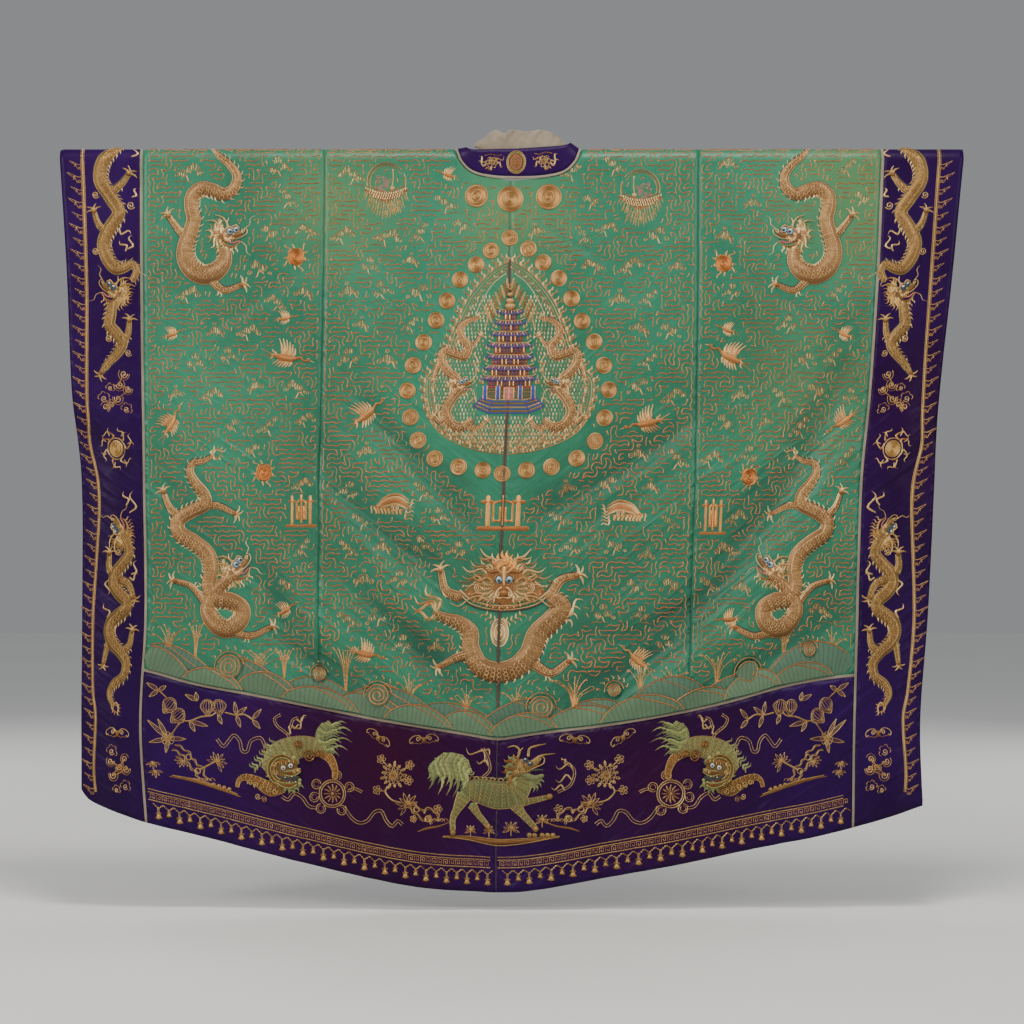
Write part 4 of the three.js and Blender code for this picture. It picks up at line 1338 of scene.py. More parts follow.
def dragon_head(pen, hair=olive_silk, mane=13, iris=pale_eye):
    """A shaggy head that looks to the right, about sixty millimetres long, from the back of its jaw."""
    pen.thread([-10 + 6j, 2 + 2j, 16 - 2j, 28 - 4j], [20, 32, 30, 18], body_gold, high=0.1)
    pen.thread([20 - 2j, 32 - 6j, 42 - 12j], [16, 14, 9], body_gold, high=0.24)
    for count, bearing in enumerate(np.linspace(84, 262, 2 * mane)):
        reach = 34 + 9 * math.sin(count * 2.3)
        root, tip = (arc(2 - 1j, way, bearing, bearing, 1)[0] for way in (8 + 6 * (count % 2), reach))
        flame(pen, root, tip, 0.2 if bearing < 180 else -0.2, 3.6,
              (gold, hair, pale_gold, gold)[count % 4], lift=1.4)
    for count, bearing in enumerate(range(-170, 190, 24)):
        root, tip = (arc(14 - 1j, way, bearing, bearing, 1)[0] for way in (5, 15))
        flame(pen, root, tip, 0.3, 2.8, (pale_gold, gold)[count % 2], lift=2.6)
    for horn in ([2 - 11j, -8 - 21j, -22 - 27j, -37 - 25j], [11 - 14j, 6 - 27j, -5 - 37j, -20 - 40j]):
        pen.thread(horn, [5.0, 4.0, 3.0, 1.2], pale_gold, lift=2.4)
        pen.thread([horn[1], horn[1] + 3 - 10j], [2.6, 1.0], pale_gold, lift=2.4)
    pen.thread([10 + 11j, 22 + 13j, 32 + 10j, 40 + 3j], [3, 5, 5, 2], ink, high=0.16, lift=0.6)
    pen.thread([14 + 12j, 26 + 13j, 36 + 8j, 45 + 9j], [2.6, 3.0, 2.4, 1], rose_silk, lift=1.2)
    pen.thread([4 + 8j, 18 + 6j, 31 + 3j, 42 - 2j, 50 - 9j, 51 - 17j, 45 - 21j], 2.0, pale_gold, lift=2.4)
    pen.thread([2 + 15j, 14 + 21j, 28 + 20j, 40 + 9j], [4, 4.4, 4, 2], gold, lift=0.8)
    curl(pen, 43 - 15j, 4.6, 90, 1.3, 1.9, pale_gold, lift=3.0)
    curl(pen, 33 - 12j, 4.0, 150, 1.1, 1.8, gold, lift=3.6)
    eye(pen, 15 - 10j, 5.8, 1.6 + 0.6j, iris, 3.4)
    eye(pen, 27 - 15j, 5.4, 1.6 + 0.6j, iris, 3.2)
    pen.thread([5 - 12j, 12 - 19j, 21 - 17j], [2.2, 4.4, 2], pale_gold, lift=3.6)
    pen.thread([18 - 20j, 26 - 24j, 34 - 19j], [2.2, 4.0, 2], pale_gold, lift=3.4)
    flame(pen, -2 - 4j, -20 - 11j, 0.35, 6, pale_gold, lift=3.0)
    for count, (root, tip) in enumerate(((4 + 20j, -8 + 38j), (10 + 21j, 2 + 40j), (16 + 22j, 10 + 42j),
                                         (22 + 22j, 18 + 42j),
                                         (28 + 21j, 27 + 40j), (34 + 17j, 36 + 34j))):
        flame(pen, root, tip, 0.2, 3.4, (hair, gold, pale_gold)[count % 3])
    pen.thread([44 - 20j, 54 - 30j, 53 - 42j, 62 - 50j], [2.4, 2.2, 1.8, 1], pale_gold)
    pen.thread([42 + 8j, 53 + 16j, 56 + 28j, 66 + 34j], [2.4, 2.2, 1.8, 1], pale_gold)


# Each body runs from the neck to the tail: across from the middle, fall, and how thick it is there.
shoulder_dragon = table(
    "across fall wide",
    (-540, 168, 22), (-540, 192, 26), (-555, 211, 31), (-579, 218, 34), (-601, 208, 34), (-614, 188, 32),
    (-615, 164, 29), (-606, 138, 27), (-599, 112, 26), (-604, 88, 25), (-601, 67, 25), (-584, 54, 25),
    (-563, 57, 24), (-541, 65, 22), (-522, 52, 19), (-518, 30, 16), (-532, 9, 13), (-552, -8, 10),
    (-566, -30, 6),
)
climbing_dragon = table(
    "across fall wide",
    (-519, 784, 18), (-541, 796, 22), (-564, 818, 26), (-574, 848, 29), (-557, 876, 31), (-531, 884, 31),
    (-508, 868, 30), (-505, 844, 29), (-529, 829, 29), (-558, 825, 29), (-571, 800, 28), (-566, 769, 28),
    (-574, 742, 28), (-600, 720, 28), (-629, 702, 28), (-631, 678, 27), (-604, 661, 25), (-578, 649, 23),
    (-579, 629, 20), (-595, 610, 18), (-607, 589, 15), (-602, 572, 12), (-580, 567, 9), (-560, 556, 5),
)


def spine(rows):
    """A table's middle line, as across + 1j * fall."""
    return rows["across"] + 1j * rows["fall"]


dragon_pen = Pen()
for half in both_sides(dragon_pen):
    limb(half, [-612 + 150j, -630 + 128j, -646 + 106j], 15)
    limb(half, [-567 + 226j, -541 + 246j, -508 + 236j], 15)
    body(half, spine(shoulder_dragon), shoulder_dragon["wide"], belly=-1)
    dragon_head(half.at(-545 + 142j, 0.9, 8))
    limb(half, [-625 + 676j, -648 + 655j, -660 + 626j], 15)
    limb(half, [-581 + 651j, -551 + 652j, -520 + 666j], 14)
    limb(half, [-566 + 858j, -584 + 828j, -608 + 802j, -640 + 792j], 14)
    limb(half, [-528 + 888j, -487 + 896j, -448 + 880j], 15)
    body(half, spine(climbing_dragon), climbing_dragon["wide"], belly=1)
    tail_fan(half, -562 + 557j, 20 - 11j)
    dragon_head(half.at(-527 + 776j, 0.92, -24))
dragon_pieces = embroidered("field_dragons", dragon_pen)

# ---- The pagoda in its flaming halo, over the middle seam: nine storeys of rose-gold and violet
# silk on a stepped base, rays and flames round it, and a small dragon coiled on either side.
rose_gold = dye((150, 84, 60), (190, 124, 92))
violet_silk = dye((46, 40, 120), silk=True)
blue_silk = dye((34, 56, 128), silk=True)
column_blue = dye((14, 52, 150), silk=True)
halo = table(
    "out fall", (1, 191), (29, 206), (57, 232), (83, 268), (107, 323), (117, 353), (136, 389), (158, 416),
    (156, 461), (141, 499), (111, 526), (56, 547), (0, 555))
storeys = table(
    "fall half", (288, 13), (308, 18), (329, 25), (350, 31), (372, 34), (393, 37), (413, 42))
ground_floor, base_head = 428, 450
column_places = (-45, -21, 21, 45)
pagoda_axis = 0
pagoda_pen = Pen()
here = pagoda_pen.at(pagoda_axis)
for mirrored in (False, True):
    half = here.at(0, mirror=mirrored)
    rim = -halo["out"] + 1j * halo["fall"]
    line, _ = smoothed(rim, np.ones(len(rim)), step=5.0)
    inward = -1j * ahead_of(line)
    half.thread(line, 2.4, gold, smooth=False)
    half.thread(line + inward * 5, 1.8, gold, smooth=False)
    half.thread(line + inward * 10, 1.4, dull_gold, smooth=False)
    for count, place in enumerate(range(1, len(line) - 2, 2)):
        root, up = line[place], -0.5 * inward[place] - 1.0j
        flame(half, root, root + up / abs(up) * (17 + 6 * (count % 2)), 0.18, 4.4,
              (gold, body_gold)[count % 2])
        flame(half, root + inward[place] * 9, root + inward[place] * 24 - 8j, 0.3, 3.0,
              (gold, body_gold)[count % 2])
    for ray in range(9):
        top = mix(-7 + 222j, -50 + 274j, ray / 8)
        half.thread([top, top + mix(5 + 24j, 17 + 34j, ray / 8)], [4.4, 5.4], (gold, body_gold)[ray % 2],
                    ends=(0.1, 0.1))
    # Short stitches fill the halo right up to the tower.
    for row, fall in enumerate(np.arange(256, 552, 7.6)):
        rim_out = np.interp(fall, halo["fall"], halo["out"]) - 14
        tower_out = np.interp(fall, storeys["fall"], storeys["half"]) + 19 if fall < 484 else 6
        for count, out in enumerate(np.arange(tower_out + 3 * (row % 2), rim_out, 6.4)):
            spot = -out + 1j * fall
            half.thread([spot, spot - 0.8 + 2.6j, spot + 0.4 + 5.4j], [2.2, 2.0, 1.4],
                        (gold, body_gold, pale_gold, dull_gold)[int(out + 3 * row) % 4], smooth=False,
                        high=0.34)
    half.thread([-8 + 214j, -34 + 236j, -60 + 280j, -66 + 306j], 2.0, pale_gold)
    half.thread([-3 + 246j, -24 + 262j, -40 + 290j, -46 + 318j], 1.8, gold)
    # The dragon at this side: a loop above its head, and a coil below it.
    body(half, [-57 + 297j, -79 + 304j, -94 + 319j, -88 + 338j, -77 + 352j, -85 + 370j, -104 + 366j,
                -122 + 361j, -127 + 380j, -112 + 402j, -96 + 414j],
         [5, 9, 12, 14, 15, 15, 15, 16, 16, 16, 15], belly=-1, scale=5.0)
    body(half, [-92 + 432j, -108 + 452j, -117 + 474j, -106 + 497j, -86 + 503j, -68 + 490j],
         [16, 17, 18, 18, 16, 11], belly=-1, scale=5.0)
    limb(half, [-112 + 480j, -126 + 494j, -138 + 484j], 10, 0.7)
    limb(half, [-78 + 500j, -58 + 506j, -42 + 492j], 10, 0.7)
    limb(half, [-86 + 350j, -66 + 346j, -56 + 332j], 8, 0.6)
    limb(half, [-122 + 370j, -136 + 392j, -142 + 410j], 8, 0.6)
    tail_fan(half, -59 + 296j, 14 - 10j, 0.6)
    dragon_head(half.at(-100 + 424j, 0.66, 4))
    for root, tip in ((-134 + 430j, -150 + 446j), (-60 + 460j, -84 + 452j), (-70 + 400j, -58 + 380j),
                      (-96 + 330j, -110 + 312j), (-60 + 420j, -46 + 404j), (-130 + 470j, -148 + 462j),
                      (-104 + 300j, -92 + 280j), (-72 + 384j, -58 + 360j), (-98 + 346j, -112 + 336j)):
        flame(half, root, tip, 0.4, 2.6, gold)
# Waves under the coils, row behind row.
for row, fall in enumerate((508, 521, 534, 546)):
    reach = (112, 96, 66, 26)[row]
    for step in range(int(2 * reach / 22) + 1):
        spot = -reach + 22 * step + (11 if row % 2 else 0) * 0.5 + 1j * fall
        for radius in (10, 7, 4):
            here.thread(arc(spot, radius, 190, 350, 5), 1.7, (pale_gold, gold, dull_gold)[radius % 3])
# The tower itself: under each eave a row of rafters fans out, and its walls are rose and gold.
for count, (fall, reach) in enumerate(zip(*storeys.values())):
    for layer, dyed in enumerate((rose_gold, body_gold, rose_gold, body_gold, rose_gold)):
        here.thread([-reach + 1 + 1j * (fall + 1.5 + 3.2 * layer),
                     reach - 1 + 1j * (fall + 1.5 + 3.2 * layer)], 3.2,
                    dyed, lift=0.3)
    for window in np.arange(-reach + 5, reach - 3, 7.5):
        here.thread([window + 1j * (fall + 3), window + 1j * (fall + 13)], 1.8,
                    (pale_gold, violet_silk)[int(window) % 2], lift=1.6)
    for rafter in np.arange(-reach - 8, reach + 9, 3.0):
        here.thread([0.84 * rafter + 1j * (fall - 5), rafter + 1j * (fall + 1.5 - abs(rafter) * 0.04)],
                    1.7,
                    (violet_silk, pale_gold, violet_silk, rose_gold)[int(round(rafter / 3)) % 4],
                    lift=1.4, smooth=False)
    eave = np.array([-reach - 13 - 3j, -reach - 4 + 1.5j, 2.5j, reach + 4 + 1.5j,
                     reach + 13 - 3j]) + 1j * fall
    here.thread(eave, 2.2, violet_silk, lift=2.0)
    here.thread(eave * 0.9 + 0.1j * fall - 7j, 1.8, pale_gold, lift=2.0)
    for side in (-1, 1):
        for out, drop in ((13, 1), (8, 4)):
            bell = side * (reach + out) + 1j * (fall + drop)
            here.thread([bell - 3j, bell + 1j], 1.2, gold)
            blob(here, bell + 3j, 2.4, pale_gold, tall=1.2)
for spot, radius in ((236, 3), (244, 4.5), (254, 6.5), (266, 8.5), (276, 10.5)):
    blob(here, 1j * spot, radius, pale_gold, tall=0.7, high=0.4, lift=0.4)
here.thread([205j, 240j], [1.2, 3], gold)
for layer in range(7):
    fall = ground_floor + 2 + 3.6 * layer
    here.thread([-50 + 1j * fall, 50 + 1j * fall], 2.6, (rose_gold, body_gold)[layer % 2])
for place in column_places:
    here.thread([place + 1j * (ground_floor - 2), place + 1j * base_head], 6.0, column_blue, lift=1.4)
    here.thread([place - 3.6 + 1j * (ground_floor - 2), place - 3.6 + 1j * base_head], 1.4, pale_gold,
                lift=1.4)
    here.thread([place + 3.6 + 1j * (ground_floor - 2), place + 3.6 + 1j * base_head], 1.4, pale_gold,
                lift=1.4)
here.thread([1j * (ground_floor + 3), 1j * base_head], 15, rose_silk, high=0.1, lift=0.8)
here.thread([-9 + 1j * base_head, -9 + 1j * (ground_floor + 2), 9 + 1j * (ground_floor + 2),
             9 + 1j * base_head], 2,
            pale_gold, lift=1.2, smooth=False)
here.thread([1j * (ground_floor + 3), 1j * base_head], 1.4, pale_gold, lift=2.2)
for layer, rise in enumerate(np.linspace(0, 1, 8)):
    high_line = np.array([-51 + 447j, -31 + 452j, 31 + 452j, 51 + 447j])
    low_line = np.array([-66 + 464j, -38 + 477j, 38 + 477j, 66 + 464j])
    here.thread(mix(high_line, low_line, rise), 2.5, (pale_gold, blue_silk, gold, violet_silk)[layer % 4],
                lift=0.6, smooth=False)
for corner, foot in ((-31 + 452j, -38 + 477j), (31 + 452j, 38 + 477j), (-51 + 447j, -66 + 464j),
                     (51 + 447j, 66 + 464j)):
    here.thread([corner, foot], 2.4, violet_silk, lift=1.4)
pagoda_pieces = embroidered("pagoda", pagoda_pen)

# ---- The worn middle seam: from the top of the halo down, handling has darkened the join, and its
# brown sewing silk shows.
worn_silk = dye((34, 20, 8), silk=True)
rubbed_silk = dye((74, 50, 26), silk=True)
seam_pen = Pen()
for first, last in ((186, 1083), (1096, 1376)):
    falls = np.arange(first, last, 12.0)
    for offset, wide, dyed in ((0, 2.6, worn_silk), (-1.8, 1.8, rubbed_silk), (1.8, 1.6, rubbed_silk)):
        if last < 1100 or offset == 0:
            seam_pen.thread(shoulder[3] + offset + 0.4 * np.sin(falls / 31) + 1j * falls, wide, dyed,
                            high=0.2, lift=0.9 if last < 1100 else 0.2, step=12.0)
seam_pieces = embroidered("middle_seam", seam_pen)
covered.append((here.place(1j * np.arange(215, 540, 6)), np.interp(np.arange(215, 540, 6), halo["fall"],
                                                                   halo["out"])))

# ---- The dragon that faces out, at the foot of the middle seam: a wide mask with staring eyes over
# a coiled body, with its arms raised to both sides.
frontal = table(
    "across fall wide",
    (96, 826, 30), (112, 844, 36), (92, 870, 38), (69, 893, 38), (56, 928, 38), (32, 954, 38),
    (-2, 964, 37),
    (-38, 952, 36), (-56, 919, 33), (-57, 889, 29), (-80, 870, 24), (-106, 862, 18), (-128, 852, 12))
crown_gold = dye((176, 108, 44), (222, 154, 74))
beast_hair = dye((70, 84, 40), (92, 104, 56), silk=True)
frontal_pen = Pen()
here = frontal_pen.at(5 + 790j)
limb(frontal_pen, [-60 + 930j, -86 + 938j, -116 + 954j], 18, 1.1)
limb(frontal_pen, [64 + 950j, 96 + 966j, 128 + 944j], 18, 1.1)
body(frontal_pen, spine(frontal), frontal["wide"], belly=1, scale=7.4)
for tip in (-170 + 820j, -160 + 806j, -146 + 796j, -176 + 838j, -172 + 856j, -134 + 800j, -150 + 872j):
    flame(frontal_pen, -124 + 852j, tip, 0.25 if tip.imag < 850 else -0.25, 6.0,
          (pale_gold, gold, olive_silk)[int(tip.imag) % 3])
for tip in (150 + 846j, 146 + 866j, 134 + 884j, 158 + 828j):
    flame(frontal_pen, 108 + 846j, tip, 0.3, 5.0, (pale_gold, gold)[int(tip.imag) % 2])
# The mane stands round the mask, longest above the ears.
for count, bearing in enumerate(np.linspace(168, 372, 37)):
    reach = 56 + 34 * abs(math.cos(math.radians(bearing))) ** 2 + 6 * math.sin(count * 2.4)
    root, tip = (arc(8j, way, bearing, bearing, 1)[0] for way in (30, reach))
    flame(here, root, tip, 0.16 if bearing < 270 else -0.16, 5.0,
          (gold, beast_hair, pale_gold, body_gold)[count % 4])
limb(here, [-82 + 34j, -112 + 20j, -122 - 16j], 20, 1.15)
limb(here, [84 + 36j, 104 + 2j, 134 - 8j], 20, 1.15)
here.thread([-70 + 26j, -46 + 20j, -20 + 12j, 0 + 11j, 20 + 12j, 46 + 20j, 70 + 26j],
            [22, 44, 70, 82, 70, 44, 22], gold, high=0.04)
for side in (-1, 1):
    cheek = here.at(0, mirror=side < 0)
    # Hair of green and gold lies over the cheeks, combed out from the nose.
    for count, bearing in enumerate(np.linspace(-34, 66, 22)):
        reach = 34 / max(abs(math.sin(math.radians(bearing))), 0.46) * (0.9 + 0.1 * math.sin(count * 2.1))
        root, tip = (arc(8 + 16j, way, bearing, bearing, 1)[0] for way in (13, min(reach, 62)))
        flame(cheek, root, tip, 0.1 * (-1) ** count, 4.2, (olive_silk, gold, pale_gold,
                                                           body_gold)[count % 4], lift=2.8)
    for radius in (5, 8.5, 12):
        cheek.thread(arc(44 + 15j, radius, -150, 60, 6), 1.6, (gold, pale_gold)[radius > 6], lift=4.4)
    for offset, wide, dyed in ((0, 3.0, pale_gold), (7.4, 2.4, pale_gold), (10.4, 2.2, ink)):
        cheek.thread(np.array([0 + 50j, 24 + 48j, 46 + 44j, 66 + 36j, 84 + 20j]) + 1j * offset, wide,
                     dyed, lift=1.2)
    for count in range(15):
        across = 1.5 + 5.9 * count
        drop = 53.5 - 0.0042 * across**2 - 0.0000004 * across**4
        blob(cheek, across + 1j * drop, 2.7, (gold, pale_gold)[count % 2], high=0.5, lift=1.2)
    cheek.thread([4 + 14j, 11 + 20j, 15 + 29j, 9 + 35j, 1 + 33j], [3, 4.4, 5, 4, 2.5], pale_gold,
                 lift=4.0)
    curl(cheek, 10.5 + 28j, 5.0, 200, 1.2, 2.2, pale_gold, lift=5.0)
    cheek.thread([16 + 34j, 30 + 39j, 46 + 31j, 66 + 36j, 86 + 50j, 104 + 44j],
                 [3.6, 3.4, 3, 2.6, 2.0, 1], pale_gold, lift=3.4)
    cheek.thread([20 + 4j, 34 - 3j, 48 + 3j, 60 - 6j], [3, 4.4, 3.6, 1.4], gold, lift=4.2)
    cheek.thread([3 - 10j, 12 - 16j, 26 - 15j, 36 - 22j], [3, 6, 5, 1.6], gold, lift=4.2)
    cheek.thread([4 - 13j, 14 - 20j, 26 - 19j, 34 - 27j], 1.8, pale_gold, lift=4.6)
    cheek.thread([9 - 24j, 20 - 38j, 36 - 44j, 48 - 58j], [6, 5, 4, 1.2], pale_gold, lift=1.6)
    cheek.thread([24 - 41j, 38 - 38j, 50 - 42j], [4, 3, 1], pale_gold, lift=1.6)
    eye(cheek, 9.6 + 0j, 5.8, -0.4 + 2.2j, lift=4.4)
    cheek.thread(arc(9.8, 8.6, 180, 345, 8), 2.0, gold, lift=4.4)
    cheek.thread([3.5 + 10j, 9 + 9j, 16 + 6j, 22 + 7j], 1.8, gold, lift=4.2)
here.thread([-22j, -8j, 10j], [9, 7, 5], gold, lift=3.6)
blob(here, 25j, 8.0, gold, tall=0.8, high=0.3, lift=4.4)
# Its crown is a flame of orange gold between the horns.
for tip in (-24 - 38j, -15 - 48j, -5 - 56j, 5 - 56j, 15 - 48j, 24 - 38j):
    flame(here, tip * 0.5, tip, 0.12, 7.0, crown_gold, lift=2.4)
here.thread([-22 - 30j, -10 - 38j, 0 - 34j, 10 - 38j, 22 - 30j], 2.4, pale_gold, lift=4.0)
for bearing in np.linspace(44, 136, 9):
    root, tip = (arc(30j, way, bearing, bearing, 1)[0] for way in (42, 62))
    flame(here, root, tip, 0.2 if bearing < 90 else -0.2, 3.4, gold)
# The pearl that it guards hangs in the coil.
for radius, dyed in ((26, pale_gold), (21, gold), (16, pale_gold), (11, gold), (6, pale_gold)):
    frontal_pen.thread(-1 + 890j + radius * (0.62 * np.cos(np.linspace(0, 6,
                                                                       15)) + 1j * np.sin(np.linspace(0,
                                                                                                      6,
                                                                                                      15))),
                       3.0, dyed, closed=True, high=0.35)
frontal_pieces = embroidered("frontal_dragon", frontal_pen)

# ---- The row under the halo: three frets in couched gold, square scrolls over a level bar, with a
# wheel of flames between each two.
sign_pen = Pen()
fret_wide = 4.6
fret_gold = dye((158, 98, 50), (214, 152, 84))


def fret(pen, width, height, post):
    """Heavy posts under a broken lintel and over a long sill, with square scrolls between them."""
    for side in (False, True):
        half = pen.at(0, mirror=side)
        w, h = width / 2, height / 2
        half.thread([w - post / 2 - 1j * h, w - post / 2 + 1j * (h - 4)], post, fret_gold, smooth=False,
                    high=0.16)
        half.thread([w - post * 1.6 - 1j * (h - 10), w + post * 0.8 - 1j * (h - 10)], post * 0.8,
                    fret_gold, smooth=False, high=0.2)
        half.thread([3 - 1j * (h - 8), w - post - 6 - 1j * (h - 8) + 4j, w - post - 6 + 1j * (h - 14),
                     5 + 1j * (h - 14), 5 - 1j * (h - 20)], fret_wide, fret_gold, smooth=False)
    pen.thread([-1j * (height / 2 + 2), 1j * (height / 2 - 6)], fret_wide, fret_gold, smooth=False)
    pen.thread([-width * 0.72 + 1j * height / 2, width * 0.72 + 1j * height / 2], post, fret_gold,
               smooth=False, high=0.16)


fret(sign_pen.at(-388 + 661j), 42, 56, 6)
fret(sign_pen.at(-2 + 664j), 66, 60, 9)
fret(sign_pen.at(391 + 672j), 38, 62, 6)


def flame_wheel(pen):
    """Half a wheel with a curl at its hub, claws of flame under it and hair behind."""
    for count, rise in enumerate((0, 7, 13, 18, 22)):
        pen.thread([-46 + 0.6 * rise + 2j, -26 - 22j + 0.9j * rise, 2 - 32j + 1j * rise,
                    28 - 22j + 0.9j * rise],
                   [3.5, 6.4, 6.8, 3], (gold, pale_gold, fret_gold)[count % 3], high=0.3,
                   lift=0.3 * count)
    curl(pen, 0 - 1j, 9, 180, 1.8, 2.6, pale_gold, lift=1.8)
    for count, across in enumerate((-40, -33, -25, -17, -9, 0, 9, 18)):
        flame(pen, across + 2j, across - 8 + (22 - 1.2 * count) * 1j, 0.3, 6.4,
              (gold, fret_gold)[count % 2])
    for count in range(6):
        flame(pen, 24 + (-18 + 6 * count) * 1j, 46 + (-26 + 10 * count) * 1j, 0.25, 3.4,
              (gold, pale_gold)[count % 2])
    flame(pen, -46 + 2j, -62 + 22j, 0.3, 4.0, gold)


flame_wheel(sign_pen.at(-207 + 656j, 0.82, 8))
flame_wheel(sign_pen.at(215 + 668j, 0.82, -4, mirror=True))
sign_pieces = embroidered("signs", sign_pen)

# ---- The sun and the moon beside the neck: rose discs in gold rings over a bank of cloud, with long
# flames below, and four flaming pearls lower down.
sky_rose = dye((150, 84, 80), silk=True)
cloud_light = dye((150, 104, 58), (190, 146, 88))
sky_pen = Pen()


def sky_disc(pen):
    """An open ring round a rose tangle, over a crescent of cloud with a mane of flames below it."""
    for radius, dyed, first, last in ((40, gold, 168, 322), (37, body_gold, 172, 300),
                                      (33.5, dull_gold, 160, 330),
                                      (40, gold, 336, 376), (36.5, body_gold, 340, 372)):
        pen.thread(arc(0j, radius, first, last, 14), 2.2, dyed)
    for count in range(9):
        spot = -9 + 3j + arc(0j, 5 + 1.6 * count, 100 * count, 0, 1)[0]
        curl(pen, spot, 4.5, 80 * count, 1.3, 1.7, (sky_rose, dull_gold)[count % 3 == 2])
        flame(pen, spot, spot + arc(0j, 13, 70 * count, 0, 1)[0], 0.3, 2.2, sky_rose)
    pen.thread([13 - 26j, 14 - 8j, 12 + 8j], 2.6, gold)
    blob(pen, 12 + 13j, 5, pale_gold, high=0.2)
    for layer, reach in enumerate((36, 43, 45, 43, 38, 31, 22)):
        pen.thread([-reach + (9 + 3.4 * layer) * 1j, 0 + (21 + 3.4 * layer) * 1j,
                    reach + (9 + 3.4 * layer) * 1j], 3.5,
                   (body_gold, gold, body_gold)[layer % 3], high=0.25)
    for row in range(3):
        for across in np.arange(-42 + 8 * row, 43 - 8 * row, 4.8):
            root = across + 1j * (36 + 11 * row - 0.011 * across**2 + shuffle.uniform(-3, 3))
            tip = root + across * 0.16 + 1j * shuffle.uniform(11, 20)
            pen.thread([root, mix(root, tip, 0.5) + shuffle.uniform(-1.2, 1.2), tip], [2.0, 3.0, 0.9],
                       (gold, cloud_light, dull_gold)[shuffle.integers(3)])
            pen.thread([across + 1j * (21 + 5 * row - 0.006 * across**2),
                        across + 1j * (25 + 5 * row - 0.006 * across**2)],
                       1.8, pale_gold, lift=1.8)


pearl_gold = dye((156, 96, 48), (226, 164, 96))


def pearl(pen, radius=15.5):
    """A flaming pearl: a wound disc with tongues of flame all round it."""
    disc(pen, 0j, radius, pearl_gold, 2.2)
    for count, bearing in enumerate(range(0, 360, 40)):
        root, tip = (arc(0j, radius + way, bearing + 2 * way, 0, 1)[0] for way in (2,
                                                                                   10 + 7 * (count % 2)))
        flame(pen, root, tip, 0.35, 2.8, (gold, fret_gold)[count % 2])


sky_disc(sky_pen.at(-236 + 42j, 0.92))
sky_disc(sky_pen.at(242 + 55j, 0.92, mirror=True))
for spot, mirrored in ((-405 + 183j, False), (400 + 195j, True), (-462 + 589j, False),
                       (464 + 597j, True)):
    pearl(sky_pen.at(spot, mirror=mirrored))
sky_pieces = embroidered("sky", sky_pen)

# ---- Eight cranes in flight, in orange gold with a black eye each, and small birds of the same make.
crane_gold = dye((156, 102, 54), (200, 146, 84))
crane_pen = Pen()


def crane(pen):
    """A crane that flies to the right, about eighty millimetres over the wings."""
    for count in range(6):
        root = -8 + 4 * count - 3j
        for side, rake in ((-1, 1.0), (1, 0.72)):
            tip = root + rake * ((-16 + 3.5 * count) + side * (30 + 3 * count - 0.9 * count**2) * 1j)
            pen.thread([root, mix(root, tip, 0.5) + 3, tip], [4.4, 5.2, 1.8],
                       (crane_gold, gold)[count % 2], high=0.3)
            pen.thread([mix(root, tip, 0.3), mix(root, tip, 0.6) + 2, tip], 1.3, pale_gold, lift=1.2)
    pen.thread([-22 + 2j, -6 + 0j, 12 - 3j, 22 - 8j], [6, 15, 12, 5], crane_gold, high=0.28, lift=0.8)
    pen.thread([18 - 5j, 30 - 12j, 38 - 8j, 46 - 13j], [6, 4.4, 3.8, 4.2], crane_gold, lift=0.8)
    blob(pen, 46 - 13j, 4.0, crane_gold, high=0.4, lift=0.8)
    blob(pen, 47 - 14j, 1.5, ink, high=0.5, lift=3.0)
    pen.thread([49 - 13j, 60 - 12j], [2.6, 0.8], pale_gold)
    for spread in (-4, 3):
        pen.thread([-20 + 2j, -38 + (4 + spread) * 1j, -50 + (6 + 2 * spread) * 1j], [3, 2.2, 1.6],
                   crane_gold)
    for spread in (-6, 0, 6):
        flame(pen, -18 + 1j, -32 + (2 + 2 * spread) * 1j, 0.1, 4.4, (gold, pale_gold)[spread == 0])


crane_spots = table(
    "across fall size turn mirror",
    (-424, 374, 0.95, 20, 0), (416, 374, 0.95, 16, 1), (-267, 482, 0.9, -30, 0), (262, 497, 0.9, -24, 1),
    (-643, 499, 0.8, -50, 0), (652, 493, 0.8, -46, 1), (-263, 931, 0.8, 24, 0), (255, 944, 0.8, 30, 1),
    (-425, 300, 0.5, 0, 0), (410, 322, 0.5, 10, 1), (-420, 850, 0.6, -20, 0), (432, 866, 0.6, -14, 1),
    (-120, 30, 0.5, 10, 1), (640, 330, 0.55, 14, 1), (-640, 330, 0.5, -10, 0))
for across, fall, size, turn, mirrored in zip(*crane_spots.values()):
    crane(crane_pen.at(across + 1j * fall, size, turn, mirrored > 0))
crane_pieces = embroidered("cranes", crane_pen)

# ---- The sea at the foot of the green: round hills of grey-green silk behind each other, outlined in
# orange gold, with great rolled waves between them and plants and spray on top.
sea_silk = dye((66, 96, 66), silk=True)
far_silk = dye((52, 90, 66), silk=True)
sea_gold = dye((168, 98, 50), (214, 152, 88))
sea_pen = Pen()


def sea_foot(across):
    """The fall at which the sea ends: just above the hem piping."""
    return read(hem_line, "across", np.asarray(across, float), "piping") - 4.5


